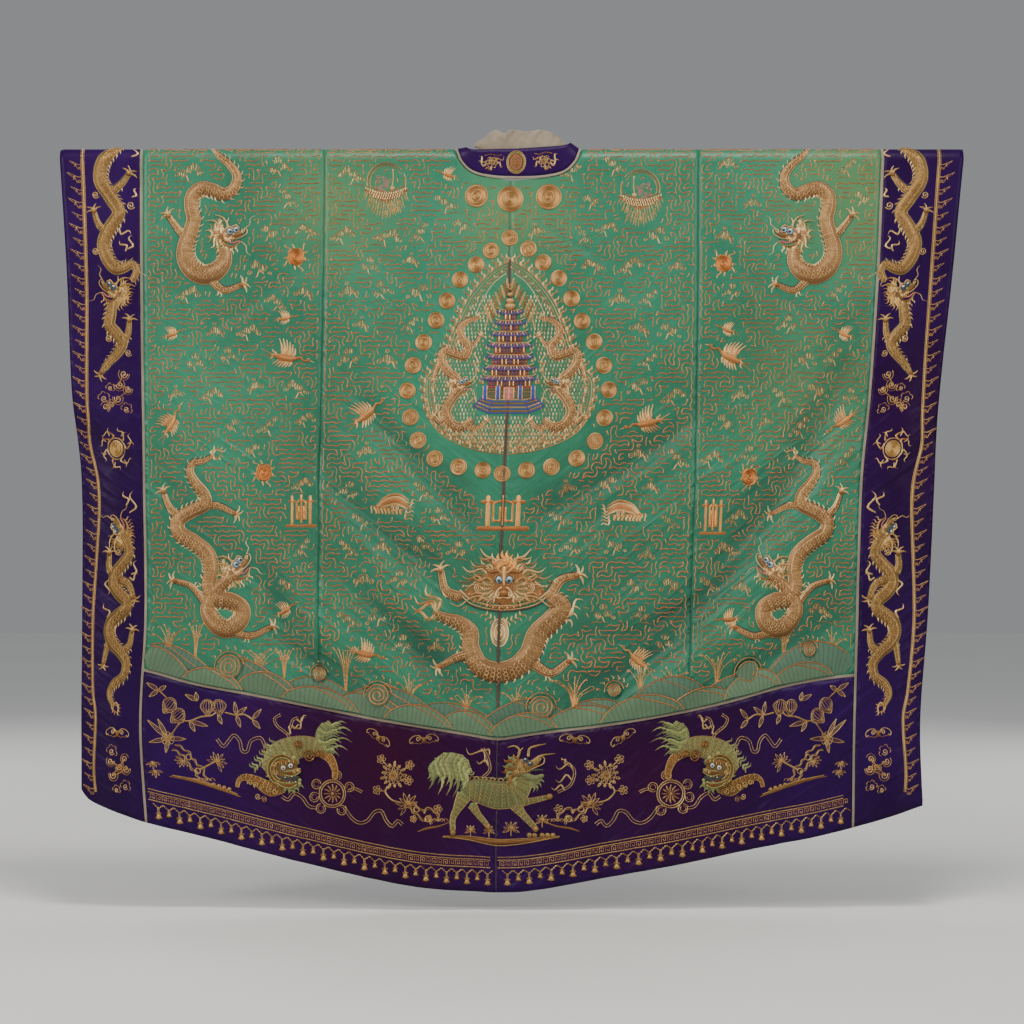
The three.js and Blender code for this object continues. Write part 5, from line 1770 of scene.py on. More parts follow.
def hill(across, reach, height, silk, level):
    """A round hill on the foot of the green, with a rim and a rib that leans."""
    xs = np.linspace(max(across - reach, -684), min(across + reach, 680), 13)
    share = (xs - across + reach) / (2 * reach)
    rise = np.maximum(height * abs(np.sin(math.pi * share)) ** 0.6, 1.5)
    foot = sea_foot(xs)
    sea_pen.thread(xs + 1j * (foot - rise / 2), rise, silk, high=0.02, lift=level)
    sea_pen.thread(xs + 1j * (foot - rise), 1.8, sea_gold, lift=level + 0.6)
    up = np.linspace(0.1, 1, 5)
    rib = across + reach * (0.86 - 1.0 * up**1.6)
    if rib[0] < 676 and rib[-1] > -680:
        top = np.interp(rib, xs, rise)
        sea_pen.thread(rib + 1j * (sea_foot(rib) - np.minimum(height * up * 0.94, top)), 1.5, sea_gold,
                       lift=level + 0.8)


for row, (height, spacing, first, silk) in enumerate(((56, 138, -640, far_silk),
                                                      (38, 104, -672, sea_silk))):
    for count, across in enumerate(np.arange(first, 670, spacing)):
        hill(across + 12 * math.sin(7 * count), spacing * (0.66 + 0.1 * math.sin(5 * count)),
             height * (1 + 0.22 * math.sin(3 * count + row)), silk, 1.7 * (2 * row + count % 2))
rolled_waves = table(
    "across up radius", (-528, 40, 24), (-352, 58, 13), (-236, 42, 22), (78, 44, 23), (214, 58, 13),
                        (474, 42, 24), (600, 54, 13))
for across, up, radius in zip(*rolled_waves.values()):
    spot = across + 1j * (sea_foot([across])[0] - up)
    blob(sea_pen, spot, radius, sea_silk, high=0.03, lift=5.2)
    curl(sea_pen, spot, radius, 200, 2.6, 1.8, sea_gold, lift=6.4)
    sea_pen.thread(arc(spot, radius + 5, 170, 350, 9), 1.5, sea_gold, lift=4.6)
    for bearing in (-150, -125, -100, -75, -50, -25):
        root, tip = (arc(spot, away, bearing, bearing + 8, 1)[0] for away in (radius + 8, radius + 19))
        flame(sea_pen, root, tip, 0.3, 2.0, (sea_gold, gold)[bearing % 50 == 0])


def spray(across, height, blades, spread):
    """Foam or weed that stands on the sea: thin stems that fan out and end in beads."""
    root = across + 1j * (sea_foot([across])[0] - 36)
    for blade in range(blades):
        lean = spread * (blade / max(blades - 1, 1) - 0.5)
        tall = height * (1 - 0.5 * abs(lean / spread) + 0.16 * math.sin(5 * blade + across))
        tip = root + lean - 1j * tall
        sea_pen.thread([root + 0.06 * lean, root + 0.3 * lean - 0.6j * tall, tip, tip + 0.14 * lean + 4j],
                       1.7, (sea_gold, gold, dull_gold)[blade % 3])
        if blade % 2 == 0:
            flame(sea_pen, root + 0.3 * lean - 0.6j * tall, root + 0.2 * lean - 0.86j * tall, 0.3, 1.8,
                  sea_gold)
            blob(sea_pen, tip + 2.4j, 2.1, pale_gold)


sprays = table(
    "across height blades spread", (-650, 56, 7, 60), (-596, 84, 5, 28), (-468, 48, 9, 80),
    (-420, 66, 5, 34),
    (-300, 92, 6, 46), (-176, 50, 9, 86), (-64, 46, 7, 56), (32, 52, 7, 50), (140, 58, 9, 84),
    (262, 88, 6, 44),
    (318, 46, 7, 56), (410, 60, 7, 70), (548, 80, 5, 36), (646, 50, 7, 56))
for row in zip(*sprays.values()):
    spray(row[0], row[1], int(row[2]), row[3])
sea_pieces = embroidered("sea", sea_pen)

# ---- The clouds: scores of small banks over the whole green, each a nested cap, a barred patch and
# a curling tail, put where the larger figures leave room.
cloud_spacing = 72 + 60j
cloud_gold = dye((146, 84, 44), (168, 112, 60))
# Where each shape of bank has its lobes (across, down, width, height) and its curls (spot, radius, turns).
cloud_shapes = [
    ([(-15, 8, 10, 8), (-5, 0, 12, 13), (8, 6, 12, 10), (19, 12, 9, 6)], [(27 + 14j, 4.4, 1.2)]),
    ([(-8, -4, 13, 12), (8, 5, 14, 12)], [(-20 + 9j, 5.4, -1.3), (20 + 13j, 4, 1.2)]),
    ([(0, -8, 12, 10), (-9, 6, 12, 9), (12, 8, 10, 8)], [(-21 + 12j, 4.6, -1.2)]),
    ([(0, 2, 15, 14)], [(-14 + 6j, 6, -1.4), (14 + 4j, 6, 1.4), (0 - 15j, 4.4, 1.2)]),
    ([(-12, -8, 9, 8), (-2, 2, 12, 10), (10, 12, 11, 8)], [(20 + 16j, 4.4, 1.3)]),
]


def cloud(pen, kind, dyed=gold):
    """A bank of cloud about forty millimetres wide: lobes of upright stitches, arcs, curls, a tail."""
    lobes, curls = cloud_shapes[kind]
    for x, y, width, height in lobes:
        for blade in np.arange(-width / 2, width / 2 + 0.1, 3.7):
            top = height * math.sqrt(max(1 - (1.7 * blade / width) ** 2, 0.1)) * shuffle.uniform(0.75,
                                                                                                 1.1)
            foot = x + blade + 1j * (y + shuffle.uniform(1, 4))
            pen.thread([foot, foot + shuffle.uniform(-2, 2) - 1j * top], [2.3, 1.7],
                       (cloud_light, cloud_gold, cloud_light, gold)[shuffle.integers(4)])
        pen.thread(arc(x + 1j * y, width * 0.74, 185, 350, 5), 1.7, cloud_gold)
    for spot, radius, turns in curls:
        curl(pen, spot, radius, 190 if turns > 0 else -10, turns, 1.8, dyed)
    foot = lobes[-1][0] + 1j * (lobes[-1][1] + 7)
    flame(pen, foot, foot - 24 + 4j, 0.3, 2.8, dyed)
    if kind % 2 == 0:
        pen.thread([foot - 10 + 6j, foot + 2 + 5j, foot + 12 + 8j], 1.9, cloud_gold)


mask_cell = 3.0
mask_corner = -750 - 60j
mask = np.zeros((int(1500 / mask_cell), int(1300 / mask_cell)), bool)


def mask_places(points):
    """The cells of the mask that these points lie in."""
    spot = (points - mask_corner) / mask_cell
    return (np.clip(spot.real.astype(int), 0, mask.shape[0] - 1),
            np.clip(spot.imag.astype(int), 0, mask.shape[1] - 1))


def cover(strokes, margin=3.4):
    """Marks the cloth under these strokes as taken."""
    points = np.concatenate([line for line, half in strokes])
    reach = np.ceil((np.concatenate([half for line, half in strokes]) + margin) / mask_cell)
    for size in np.unique(reach):
        span = np.arange(-size, size + 1)
        near = (span[:, None] + 1j * span).ravel()
        near = near[abs(near) <= size] * mask_cell
        mask[mask_places((points[reach == size][:, None] + near).ravel())] = True


cover(covered)
cloud_pen = Pen()
for row, fall in enumerate(np.arange(14, 1060, cloud_spacing.imag)):
    for across in np.arange(-668, 690, cloud_spacing.real):
        spot = across + 38 * (row % 2) + shuffle.uniform(-12, 12) + 1j * (fall + shuffle.uniform(-10, 10))
        around = spot + np.array([0, -22, 22, -10j, 12j, -26 + 8j, 26 + 8j])
        room = fall < read(hem_line, "across", np.array([spot.real]),
                           "piping")[0] - 60 and abs(spot.real) < 662
        seams = min(abs(spot.real - seam) for seam in shoulder[1:6]) > 26
        if room and seams and not mask[mask_places(around)].any():
            cloud(cloud_pen.at(spot, shuffle.uniform(0.8, 1.05), shuffle.uniform(-14, 14),
                               shuffle.random() < 0.5),
                  int(shuffle.integers(5)), (gold, dull_gold)[int(shuffle.integers(2))])
cloud_pieces = embroidered("clouds", cloud_pen)
cover([(stroke["line"], stroke["half"]) for stroke in cloud_pen.strokes])

# ---- The embroidery of the side borders, mirrored left and right: a dragon that comes down from the
# shoulder, one that climbs from the hem, clouds, a pearl and a bat, inside a corded fringe line.
border_face = border_wall / 2 + 0.1
dark_eye = dye((24, 62, 84), silk=True)
# On the purple the gilt has dulled to a browner tone.
old_gold = np.array([0.58, 0.59, 0.48])
side_pen, fringe_pen = Pen(), Pen()
descending = table(
    "across fall wide",
    (-722, -66, 10), (-738, -44, 17), (-750, -22, 22), (-771, 6, 24), (-776, 40, 24), (-757, 72, 24),
    (-742, 100, 24), (-760, 128, 24), (-774, 156, 24), (-768, 184, 24), (-752, 205, 21), (-733, 204, 17),
    (-717, 197, 14), (-708, 210, 13), (-717, 228, 11))
descending_foot = table(
    "across fall wide",
    (-758, 270, 18), (-762, 290, 21), (-765, 311, 22), (-750, 329, 22), (-739, 345, 21), (-748, 362, 18),
    (-764, 378, 14), (-778, 394, 10))
ascending = table(
    "across fall wide",
    (-752, 706, 16), (-741, 722, 20), (-737, 742, 21), (-752, 760, 22), (-770, 778, 23), (-774, 798, 24),
    (-762, 816, 24), (-745, 830, 24), (-746, 846, 24), (-764, 858, 24), (-781, 872, 24), (-785, 892, 23),
    (-774, 912, 22), (-754, 928, 21), (-740, 948, 19), (-746, 972, 17), (-768, 986, 15), (-779, 1006, 12),
    (-768, 1028, 8))


def scroll_cloud(pen, curls, caps):
    """A ribbon of cloud in double outline, with curls where they are listed and scalloped rounds."""
    chain = [spot for spot, radius, first, turns in curls]
    pen.thread(chain, 3.0, gold)
    for spot, radius, first, turns in curls:
        curl(pen, spot, radius, first, turns, 2.4, pale_gold)
        pen.thread(arc(spot, radius + 3.4, first, first + 220 * (1 if turns > 0 else -1), 9), 1.7, gold)
    for spot, width in caps:
        curl(pen, spot, width * 0.52, 30, 1.4, 2.0, pale_gold)
        for bearing in (-160, -100, -40, 20):
            lobe = arc(spot, width * 0.72, bearing, bearing, 1)[0]
            pen.thread(arc(lobe, width * 0.36, bearing - 80, bearing + 80, 4), 1.7, gold)


def bat(pen):
    """A bat as a scroll: two curled wings, each with a hook, on a small body."""
    blob(pen, 0j, 6, gold, tall=1.3)
    for side in (False, True):
        half = pen.at(0, mirror=side)
        curl(half, 14 - 3j, 6.5, 180, 1.3, 2.6, pale_gold)
        half.thread([2 - 3j, 12 - 12j, 26 - 11j, 36 - 3j, 34 + 5j, 28 + 2j], 2.6, pale_gold)
        half.thread([3 + 4j, 12 + 8j, 22 + 5j, 29 + 7j], 2.0, gold)


for half in both_sides(side_pen):
    limb(half, [-756 + 62j, -736 + 46j, -722 + 28j], 15, 0.95)
    limb(half, [-768 + 138j, -783 + 120j, -790 + 98j], 14, 0.9)
    body(half, spine(descending), descending["wide"], belly=1, scale=6)
    limb(half, [-744 + 346j, -728 + 328j, -724 + 304j], 15, 0.95)
    limb(half, [-758 + 372j, -774 + 386j, -786 + 402j], 15, 0.9)
    body(half, spine(descending_foot), descending_foot["wide"], belly=-1, scale=6)
    dragon_head(half.at(-746 + 252j, 0.84, 14, mirror=True), gold, 21, dark_eye)
    for spot, radius in ((-774 + 4j, 8), (-786 + 66j, 7), (-718 + 86j, 8), (-790 + 172j, 7),
                         (-768 + 336j, 7), (-727 + 364j, 7)):
        curl(half, spot, radius, 30, 1.5, 2.4, pale_gold)
    for root, tip in ((-716 - 6j, -706 - 34j), (-742 + 128j, -716 + 142j), (-726 + 168j, -716 + 140j),
                      (-730 + 172j, -742 + 150j), (-716 + 70j, -706 + 52j)):
        flame(half, root, tip, 0.3, 4.0, pale_gold)
    scroll_cloud(half, [(-738 + 404j, 8, 0, 1.4), (-748 + 424j, 8, 180, -1.4), (-730 + 432j, 7, 0, 1.4),
                        (-752 + 450j, 8, 200, -1.3), (-766 + 462j, 7, 120, 1.3),
                        (-780 + 466j, 7, 60, -1.3)],
                 [(-782 + 450j, 13), (-734 + 470j, 12), (-768 + 430j, 9)])
    disc(half, -762 + 544j, 16, pale_gold, 2.6)
    half.thread(arc(-762 + 544j, 20, 0, 345, 20), 2.4, pale_gold, closed=True)
    for bearing, reach in ((-130, 24), (-160, 20), (-30, 24), (-70, 20), (40, 22), (90, 20), (150, 18)):
        root = arc(-762 + 544j, 21, bearing, bearing, 1)[0]
        tip = arc(-762 + 544j, 21 + reach, bearing + 22, bearing + 22, 1)[0]
        flame(half, root, tip, 0.35, 3.6, (pale_gold, gold)[reach % 4 == 0])
        fork = arc(-762 + 544j, 22 + reach, bearing - 12, bearing - 12, 1)[0]
        flame(half, mix(root, tip, 0.3), fork, 0.3, 2.8, pale_gold)
    limb(half, [-768 + 786j, -785 + 768j, -784 + 742j], 17, 1.0)
    limb(half, [-760 + 790j, -738 + 800j, -727 + 824j], 17, 0.95)
    limb(half, [-756 + 928j, -735 + 914j, -729 + 888j], 16, 0.95)
    limb(half, [-782 + 896j, -790 + 922j, -796 + 948j], 14, 0.85)
    body(half, spine(ascending), ascending["wide"], belly=1, scale=6)
    dragon_head(half.at(-754 + 708j, 0.84, -104, mirror=False), gold, 21, dark_eye)
    tail_fan(half, -766 + 1026j, 10 + 12j, 0.9, gold)
    curl(half, -762 + 738j, 6.5, 30, 1.5, 2.4, pale_gold)
    for root, tip in ((-784 + 790j, -790 + 822j), (-732 + 780j, -718 + 752j), (-736 + 786j, -714 + 780j),
                      (-790 + 862j, -798 + 832j), (-734 + 664j, -724 + 620j), (-742 + 650j, -748 + 622j)):
        flame(half, root, tip, 0.3, 4.4, pale_gold)
    bat(half.at(-757 + 1080j, 0.8, 4))
    scroll_cloud(half, [(-776 + 1132j, 7, 0, 1.4), (-754 + 1142j, 7, 180, -1.4),
                        (-738 + 1146j, 8, 0, 1.4),
                        (-770 + 1158j, 8, 200, -1.3), (-740 + 1128j, 7, 120, 1.3)],
                 [(-772 + 1114j, 13), (-742 + 1180j, 12), (-764 + 1186j, 9)])
    # The front is kept plainer: only scroll clouds and bats come down its borders, by turns.
    for count, fall in enumerate(range(-170, -1180, -170)):
        spot = -760 + 1j * fall
        if count % 2:
            bat(half.at(spot, 0.9))
        else:
            scroll_cloud(half.at(spot), [(-16 + 6j, 8, 0, 1.4), (10 - 4j, 8, 180, -1.4),
                                         (16 + 18j, 7, 0, 1.4)],
                         [(-8 - 14j, 13)])
side_pieces = embroidered("side_borders", side_pen, face=border_face, keeps_clear=False,
                          aged=old_gold * 1.34)

# ---- The fringe of the side borders: a gold cord of three threads down each side, with tassels
# that point out to the edge, long and short by turns, each hung from a small curl.
fringe_line = table(
    "fall out", (-1250, 812), (-600, 812), (-26, 809), (115, 810), (291, 813), (485, 821), (536, 824),
    (603, 811),
    (652, 809), (742, 816), (867, 825), (999, 822), (1047, 814), (1149, 820), (1210, 814))
fringe_spacing = 24.0
for half in both_sides(fringe_pen):
    for first, last in ((-1150, -70), (-70, 1204)):
        falls = np.arange(first, last, 14.0)
        out = read(fringe_line, "fall", falls, "out")
        for offset, wide, dyed in ((0, 3.2, pale_gold), (3.0, 2.0, gold), (-2.8, 1.8, dull_gold)):
            half.thread(-out + offset + 1j * falls, wide, dyed, step=10.0)
    for count, fall in enumerate(np.arange(-1140, 1196, fringe_spacing)):
        if -74 < fall < -8:
            continue
        spot = -read(fringe_line, "fall", np.array([fall]), "out")[0] + 1j * fall
        reach = 27 if count % 2 else 22
        fringe = half.at(spot, reach / 27, mirror=False)
        curl(fringe, -7 + 4j, 3.4, 0, 1.3, 1.7, gold)
        fringe.thread([-2 - 4j, -9 - 3j, -18 - 7j, -30 - 12j], [1.9, 2.2, 2.0, 1.4], pale_gold,
                      smooth=False)
        fringe.thread([-3 + 7j, -11 + 7j, -15 - 1j, -29 - 10j], [1.7, 2.0, 1.9, 1.3], gold, smooth=False)
        flame(fringe, -11 - 3j, -22 + 1j, 0.3, 2.4, gold)
fringe_pieces = embroidered("fringe", fringe_pen, face=border_face, keeps_clear=False,
                            aged=old_gold * 1.15)

# ---- The beasts of the hem border: a green and gold unicorn runs along the middle seam, and a lion
# plays with a silk ball on either side, between a peach tree, rocks, flowers and bats.
# These silks and golds are painted lighter where they run upright, a glint.
beast_green = dye((70, 84, 34), (98, 108, 54), silk=True)
mane_green = dye((96, 100, 46), (116, 120, 62), silk=True)
light_green = dye((124, 130, 66), (138, 142, 78), silk=True)
face_gold = dye((150, 116, 70), (184, 150, 98))
tawny = dye((132, 84, 44), (182, 128, 72))
hem_pen = Pen()
hide_high = 0.06


def ribbon(pen, points, wide=5.0, dyed=pale_gold):
    """A ribbon as a double line."""
    line, _ = smoothed(points, np.ones(len(points)), step=5.0)
    side = 1j * ahead_of(line) * wide / 2
    pen.thread(line + side, 1.8, dyed, smooth=False)
    pen.thread(line - side, 1.8, dyed, smooth=False)


def leaf(pen, root, tip, wide=6.0):
    """A pointed leaf in outline, with a rib down its middle."""
    run = tip - root
    along, out = np.array([0, 0.35, 0.7, 1]), np.array([0, 1, 0.8, 0])
    for side in (-1, 1):
        pen.thread(root + run * along + side * 1j * run / abs(run) * wide / 2 * out, 2.0, pale_gold)
    pen.thread([root, mix(root, tip, 0.85)], 1.6, gold)


def burst(pen, spot, reach, count=9, first=-90, spread=250):
    """A tuft of leaves or pine needles, fanned out round one side."""
    for ray in range(count):
        ahead = arc(0j, 1, first + spread * (ray / (count - 1) - 0.5), 0, 1)[0]
        far = reach * (1 - 0.16 * (ray % 2))
        for side in (-1, 1):
            pen.thread([spot + ahead * far * 0.15, spot + ahead * far * 0.6 + side * ahead * 0.11j * far,
                        spot + ahead * far],
                       1.6, (pale_gold, gold)[side > 0])
    for ray in range(count - 2):
        ahead = arc(0j, 1, first + 0.8 * spread * (ray / (count - 3) - 0.5), 0, 1)[0]
        flame(pen, spot, spot + ahead * reach * 0.45, 0.2, 3.0, gold)


def blossom(pen, spot, radius, petals=6):
    """A flower of round petals in outline, a ring of small ones inside a ring of large."""
    for ring, (away, size, count) in enumerate(((0.66, 0.34, petals), (0.32, 0.2, max(petals - 2, 3)))):
        for petal in range(count):
            centre = arc(spot, radius * away, 360 / count * petal + 30 * ring, 0, 1)[0]
            pen.thread(arc(centre, radius * size, 0, 320, 6), 1.6, (pale_gold, gold)[ring], closed=True)
    blob(pen, spot, radius * 0.14, gold, high=0.5)


def forked_flame(pen, points, forks, wide=4.0):
    """A long flame in double outline, with forks listed as root and tip."""
    ribbon(pen, points, wide)
    for root, tip in forks:
        flame(pen, root, tip, 0.3, wide * 0.9, pale_gold)


def rock(pen, points, holes):
    """A pierced garden rock: two knobbly outlines, one inside the other, and rings for its holes."""
    line, wide = smoothed(points, np.linspace(15, 21, len(points)), step=5.0)
    side = 1j * ahead_of(line) * wide / 2
    for hand in (-1, 1):
        for grow, dyed in ((1, pale_gold), (0.68, gold)):
            bumps = 0.84 + 0.3 * np.sin(np.arange(len(line)) * 1.5 + 2 * hand)
            pen.thread(line + hand * side * bumps * grow, 2.0, dyed)
    for spot in holes:
        pen.thread(arc(spot, 5.4, 0, 330, 9), 2.2, pale_gold, closed=True, lift=0.8)
    foot = line[-1]
    for across in (-16, -9, -2, 5, 12, 19):
        pen.thread(arc(foot + across, 6, 190, 350, 5), 1.9, (pale_gold, gold)[across % 2])


def hide(pen, points, widths, skin, scale=6.0, rows=True):
    """A beast's body or limb: padded, outlined in gold and, where rows is set, scaled."""
    line, wide = smoothed(points, widths, step=5.0)
    pen.thread(line, wide, skin, high=hide_high, smooth=False)
    side = 1j * ahead_of(line)
    for hand in (-1, 1):
        pen.thread(line + hand * side * (wide / 2 - 0.4), 2.0, pale_gold, smooth=False)
    if rows:
        way = np.concatenate([[0], np.cumsum(abs(np.diff(line)))])
        for row, place in enumerate(np.arange(3, way[-1] - 2, scale * 0.9)):
            centre, out, half = (np.interp(place, way, values) for values in (line, side, wide / 2))
            scallops = max(int(round(half / scale * 1.5)), 1)
            share = np.linspace(0, 1, 3 * scallops + 1)
            sway = abs(np.sin(math.pi * (scallops * share + 0.5 * (row % 2))))
            reach = -0.84 + 1.68 * share
            pen.thread(centre + out * half * reach - 1j * out * scale * 0.6 * sway, 1.5,
                       (gold, pale_gold)[row % 2],
                       lift=2 * half * hide_high * (1 - 0.46 * abs(reach)) - 0.2, smooth=False, high=0.6)


def combed(pen, roots, tips, hairs=4, wide=6.0):
    """Hair combed from a line of roots to a row of tips, in locks with pointed ends."""
    for count in range(len(roots) - 1):
        for hair in range(hairs):
            share = hair / hairs
            root, tip = mix(roots[count], roots[count + 1], share), mix(tips[count], tips[count + 1],
                                                                        share)
            flame(pen, root, mix(root, tip, 1 - 0.42 * math.sin(math.pi * share)), 0.14, wide,
                  (mane_green, light_green, beast_green)[(count + hair) % 3], lift=0.8 * (hair % 2))
        curl(pen, mix(roots[count], tips[count], 0.06), wide * 0.8, 120 * count, 1.2, 2.0, light_green,
             lift=2.4)


# The unicorn: far legs, tail, body, near legs, then the head with its beard.
for leg, wide in (([-50 + 1214j, -38 + 1232j, -20 + 1252j], (18, 12, 9)),
                  ([40 + 1210j, 64 + 1206j, 94 + 1199j], (17, 11, 8))):
    hide(hem_pen, leg, wide, beast_green, 5)
combed(hem_pen, [-52 + 1150j, -60 + 1130j, -72 + 1121j, -88 + 1117j, -106 + 1117j, -121 + 1128j,
                 -126 + 1142j],
       [-68 + 1186j, -75 + 1200j, -88 + 1202j, -101 + 1200j, -117 + 1197j, -136 + 1187j, -145 + 1172j], 5,
       8.0)
hide(hem_pen, [-66 + 1186j, -36 + 1188j, 0 + 1196j, 30 + 1192j, 44 + 1172j, 46 + 1156j],
     (30, 46, 52, 50, 40, 30), beast_green)
for leg, wide in (([-66 + 1196j, -80 + 1222j, -88 + 1240j, -88 + 1262j], (30, 16, 11, 10)),
                  ([30 + 1210j, 48 + 1232j, 70 + 1256j], (24, 13, 10))):
    hide(hem_pen, leg, wide, beast_green, 5)
for hoof in (-88 + 1266j, 72 + 1259j, -18 + 1255j, 97 + 1198j):
    blob(hem_pen, hoof, 6, pale_gold, high=0.4, lift=0.8)
for across in range(-50, 30, 8):
    hem_pen.thread(arc(across + (1169 + across * 0.07) * 1j, 5.4, 180, 350, 5), 2.0,
                   (gold, light_green)[across % 16 == 6], lift=1.0)
for tip in (16 + 1150j, 14 + 1162j, 12 + 1139j, 18 + 1130j, 20 + 1172j, 26 + 1122j):
    flame(hem_pen, 40 + 1148j, tip, 0.2, 7.0, (tawny, mane_green)[int(tip.imag) % 2])
hem_pen.thread([30 + 1146j, 44 + 1142j, 60 + 1142j], [22, 30, 24], face_gold, high=0.1)
hem_pen.thread([54 + 1142j, 66 + 1136j, 76 + 1126j], [20, 16, 11], face_gold, high=0.2)
hem_pen.thread([50 + 1158j, 68 + 1164j, 84 + 1158j], [13, 13, 7], mane_green, high=0.3)
hem_pen.thread([56 + 1150j, 70 + 1148j, 84 + 1148j], [3, 5, 3], ink, lift=1)
for tip in (66 + 1192j, 74 + 1190j, 58 + 1188j, 82 + 1182j, 88 + 1172j):
    flame(hem_pen, 66 + 1162j, tip, 0.2, 6.0, mane_green)
hem_pen.thread([40 + 1156j, 56 + 1150j, 72 + 1142j, 84 + 1136j, 86 + 1126j, 78 + 1121j], 2.2, pale_gold,
               lift=2.2)
curl(hem_pen, 77 + 1127j, 4.6, 90, 1.3, 2.0, pale_gold, lift=2.6)
for horn in ([34 + 1130j, 40 + 1112j, 30 + 1103j, 17 + 1106j],
             [56 + 1122j, 58 + 1108j, 70 + 1103j, 88 + 1099j], [74 + 1124j, 84 + 1120j, 106 + 1117j]):
    hem_pen.thread(horn, [5.5] + [4.0] * (len(horn) - 2) + [1.2], pale_gold, lift=1.0)
hem_pen.thread([37 + 1116j, 46 + 1106j], [3.6, 1.4], pale_gold, lift=1.0)
for count, tip in enumerate((10 + 1128j, 8 + 1140j, 6 + 1152j, 10 + 1164j, 18 + 1176j, 18 + 1120j,
                             28 + 1118j, 30 + 1184j)):
    flame(hem_pen, mix(tip, 42 + 1144j, 0.55), tip, 0.2, 7.0, (tawny, mane_green)[count % 2], lift=2.0)
for count, spot in enumerate((40 + 1140j, 47 + 1149j, 36 + 1152j)):
    curl(hem_pen, spot, 5, 90 * count, 1.4, 1.8, pale_gold, lift=5.0)
eye(hem_pen, 51 + 1129j, 3.8, 0.8 + 0.4j, dark_eye, 4.6)
eye(hem_pen, 60 + 1136j, 3.8, 0.8 + 0.4j, dark_eye, 4.6)
for count in range(4):
    hem_pen.thread(arc(33 + 1146j, 4 + 3.2 * count, -60, 70, 5), 1.6, pale_gold, lift=2.6)
forked_flame(hem_pen, [-30 + 1163j, -16 + 1148j, -20 + 1126j, -30 + 1108j],
             [(-20 + 1140j, -44 + 1130j), (-26 + 1134j, -66 + 1103j), (-17 + 1120j, -36 + 1105j)])
forked_flame(hem_pen, [123 + 1132j, 142 + 1148j, 136 + 1176j, 112 + 1190j],
             [(140 + 1150j, 104 + 1138j), (138 + 1168j, 104 + 1166j), (124 + 1186j, 98 + 1180j),
              (124 + 1134j, 118 + 1124j)])
hem_pen.thread([-108 + 1275j, -61 + 1277j, 0 + 1284j, 58 + 1281j, 116 + 1275j], [2, 5, 9, 6, 2], gold,
               high=0.2)
for drop in (0, 9):
    hem_pen.thread([-108 + 1273j, -61 + (1273 + 0.7 * drop) * 1j, 0 + (1279 + 1.3 * drop) * 1j,
                    58 + (1277 + 0.9 * drop) * 1j, 116 + 1273j], 2.0, pale_gold, lift=0.8)
for spot, reach in ((-53 + 1263j, 12), (-16 + 1264j, 12), (26 + 1260j, 17), (84 + 1244j, 14)):
    burst(hem_pen, spot, reach, 7, -90, 220)
    hem_pen.thread([spot, spot + 12j], 2.0, gold)
for across in (60, 70, 84, 94, 104):
    blob(hem_pen, across + 1271j, 5, pale_gold, high=0.3)


